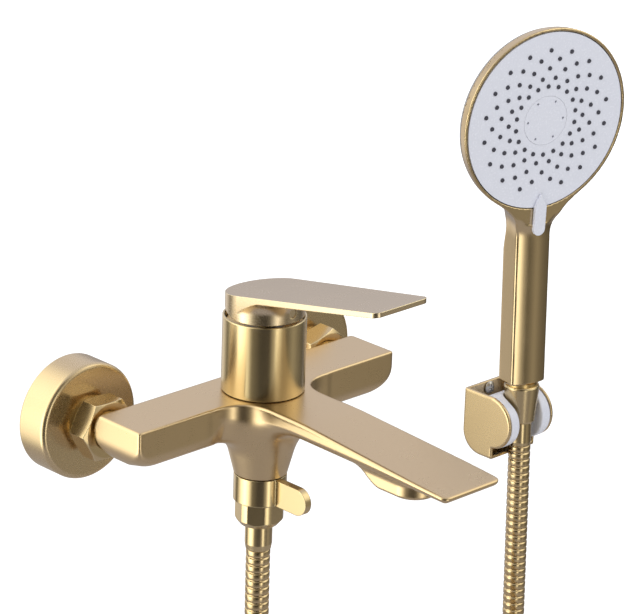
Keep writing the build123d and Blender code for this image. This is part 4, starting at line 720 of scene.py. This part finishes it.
room = bpy.context.scene.world or bpy.data.worlds.new("room")
bpy.context.scene.world = room
room.use_nodes = True
glow = room.node_tree.nodes["Background"]
seen = Look(room.node_tree).node("LightPath")
mirrored = Look(room.node_tree, seen.socket.node.outputs["Is Glossy Ray"])
through = Look(room.node_tree, seen.socket.node.outputs["Is Transmission Ray"])
whole = between(seen + mirrored + through, (0.55, 0.55, 0.56, 1), (1, 1, 1, 1))
whole.tree.links.new(whole.socket, glow.inputs["Color"])

# Lamps. Three soft boxes light the plastic and the floor, and a tent of cloth that
# only glossy pieces see stands round the mixer. Its broad pale and dark bands are
# what the brushed gold shows along its round pieces.
tent_middle = Vector((0.06, -0.07, 0.0))
bearing = math.atan2(back.y, back.x)
lamp_distance = 1.6
tent_radius, tent_bottom, tent_strength = 0.9, -0.41, 4.0
for turn, height, power, width in ((-58, 1.0, 20, 1.3), (40, 1.3, 14, 1.1), (170, 1.6, 10, 1.6)):
    lamp = bpy.data.objects.new("soft_box", bpy.data.lights.new("soft_box", "AREA"))
    bpy.context.scene.collection.objects.link(lamp)
    lamp.data.shape = "SQUARE"
    lamp.data.size = width
    lamp.data.energy = power
    lamp.visible_glossy = False
    aside = bearing + math.radians(turn)
    lamp.location = tent_middle + Vector(
        (math.cos(aside) * lamp_distance, math.sin(aside) * lamp_distance, height))
    lamp.rotation_euler = (tent_middle - lamp.location).to_track_quat("-Z", "Y").to_euler()

tent_cloth, shader, place = new_finish(
    "tent_cloth", Base_Color=(0, 0, 0, 1), Specular_IOR_Level=0.0, Emission_Strength=tent_strength)
place = place.node("VectorMath", {"operation": "NORMALIZE"}, {0: place})
parts = place.node("SeparateXYZ", sockets={0: place})
aside, lift = (Look(place.tree, parts.socket.node.outputs[way]) for way in (1, 2))
round_share = aside.node("Math", {"operation": "ARCTAN2"}, {0: aside, 1: parts})
round_share = round_share * (0.5 / math.pi) + 0.5


def bands(*stops):
    """Colours round the tent, each at its bearing in degrees from the camera's."""
    return round_share.node("ValToRGB", {"stops": [
        (0.5 + turn / 360, (*(part / tent_strength for part in colour), 1))
        for turn, *colour in stops
    ]}, {0: round_share})


wall_bands = bands(
    (-180, 0.32, 0.31, 0.32), (-158, 0.50, 0.48, 0.50), (-145, 0.95, 0.90, 0.86),
    (-130, 0.90, 0.84, 0.74), (-112, 0.08, 0.07, 0.05), (-100, 0.75, 0.70, 0.55),
    (-90, 1.7, 1.6, 1.3), (-64, 3.9, 3.75, 3.1), (-50, 2.4, 2.27, 1.80),
    (-34, 0.24, 0.215, 0.16), (-10, 0.04, 0.035, 0.025), (12, 0.05, 0.043, 0.032),
    (25, 0.7, 0.64, 0.50), (35, 2.9, 2.75, 2.2), (46, 0.60, 0.55, 0.43),
    (60, 0.12, 0.107, 0.08), (84, 0.42, 0.38, 0.29), (100, 0.24, 0.215, 0.165),
    (128, 0.10, 0.09, 0.07), (144, 0.34, 0.325, 0.33), (180, 0.32, 0.31, 0.32),
)
roof_bands = bands(
    (-180, 0.85, 0.83, 0.88), (-142, 0.86, 0.83, 0.85), (-112, 1.6, 1.53, 1.28),
    (-88, 2.1, 2.0, 1.65), (-52, 2.0, 1.9, 1.5), (-28, 0.35, 0.32, 0.25),
    (0, 0.10, 0.09, 0.07), (28, 0.28, 0.25, 0.19), (60, 0.9, 0.84, 0.69),
    (98, 1.9, 1.8, 1.45), (125, 1.2, 1.14, 0.97), (150, 0.80, 0.78, 0.82),
    (180, 0.85, 0.83, 0.88),
)
tent_top, tent_foot = (0.20, 0.195, 0.19, 1), (0.11, 0.103, 0.10, 1)
to_roof, to_top, to_foot = (
    lift.node("MapRange", {"interpolation_type": "SMOOTHSTEP"}, {0: lift, 1: start, 2: end})
    for start, end in ((0.0, 0.36), (0.75, 0.97), (-0.44, -0.62)))
sides = between(to_roof, wall_bands, roof_bands)
feed(shader, Emission_Color=between(to_foot, between(to_top, sides, tent_top), tent_foot))
tent_form = bmesh.new()
bmesh.ops.create_uvsphere(tent_form, u_segments=48, v_segments=32, radius=tent_radius)
for point in tent_form.verts:
    point.co.z = max(point.co.z, tent_bottom)
tent_mesh = bpy.data.meshes.new("light_tent")
tent_form.to_mesh(tent_mesh)
tent_form.free()
tent_mesh.materials.append(tent_cloth)
light_tent = bpy.data.objects.new("light_tent", tent_mesh)
bpy.context.scene.collection.objects.link(light_tent)
light_tent.location = tent_middle
light_tent.rotation_euler = (0, 0, bearing)
light_tent.visible_camera = light_tent.visible_diffuse = light_tent.visible_shadow = False
light_tent.visible_transmission = False

bpy.context.scene.view_settings.view_transform = "Standard"
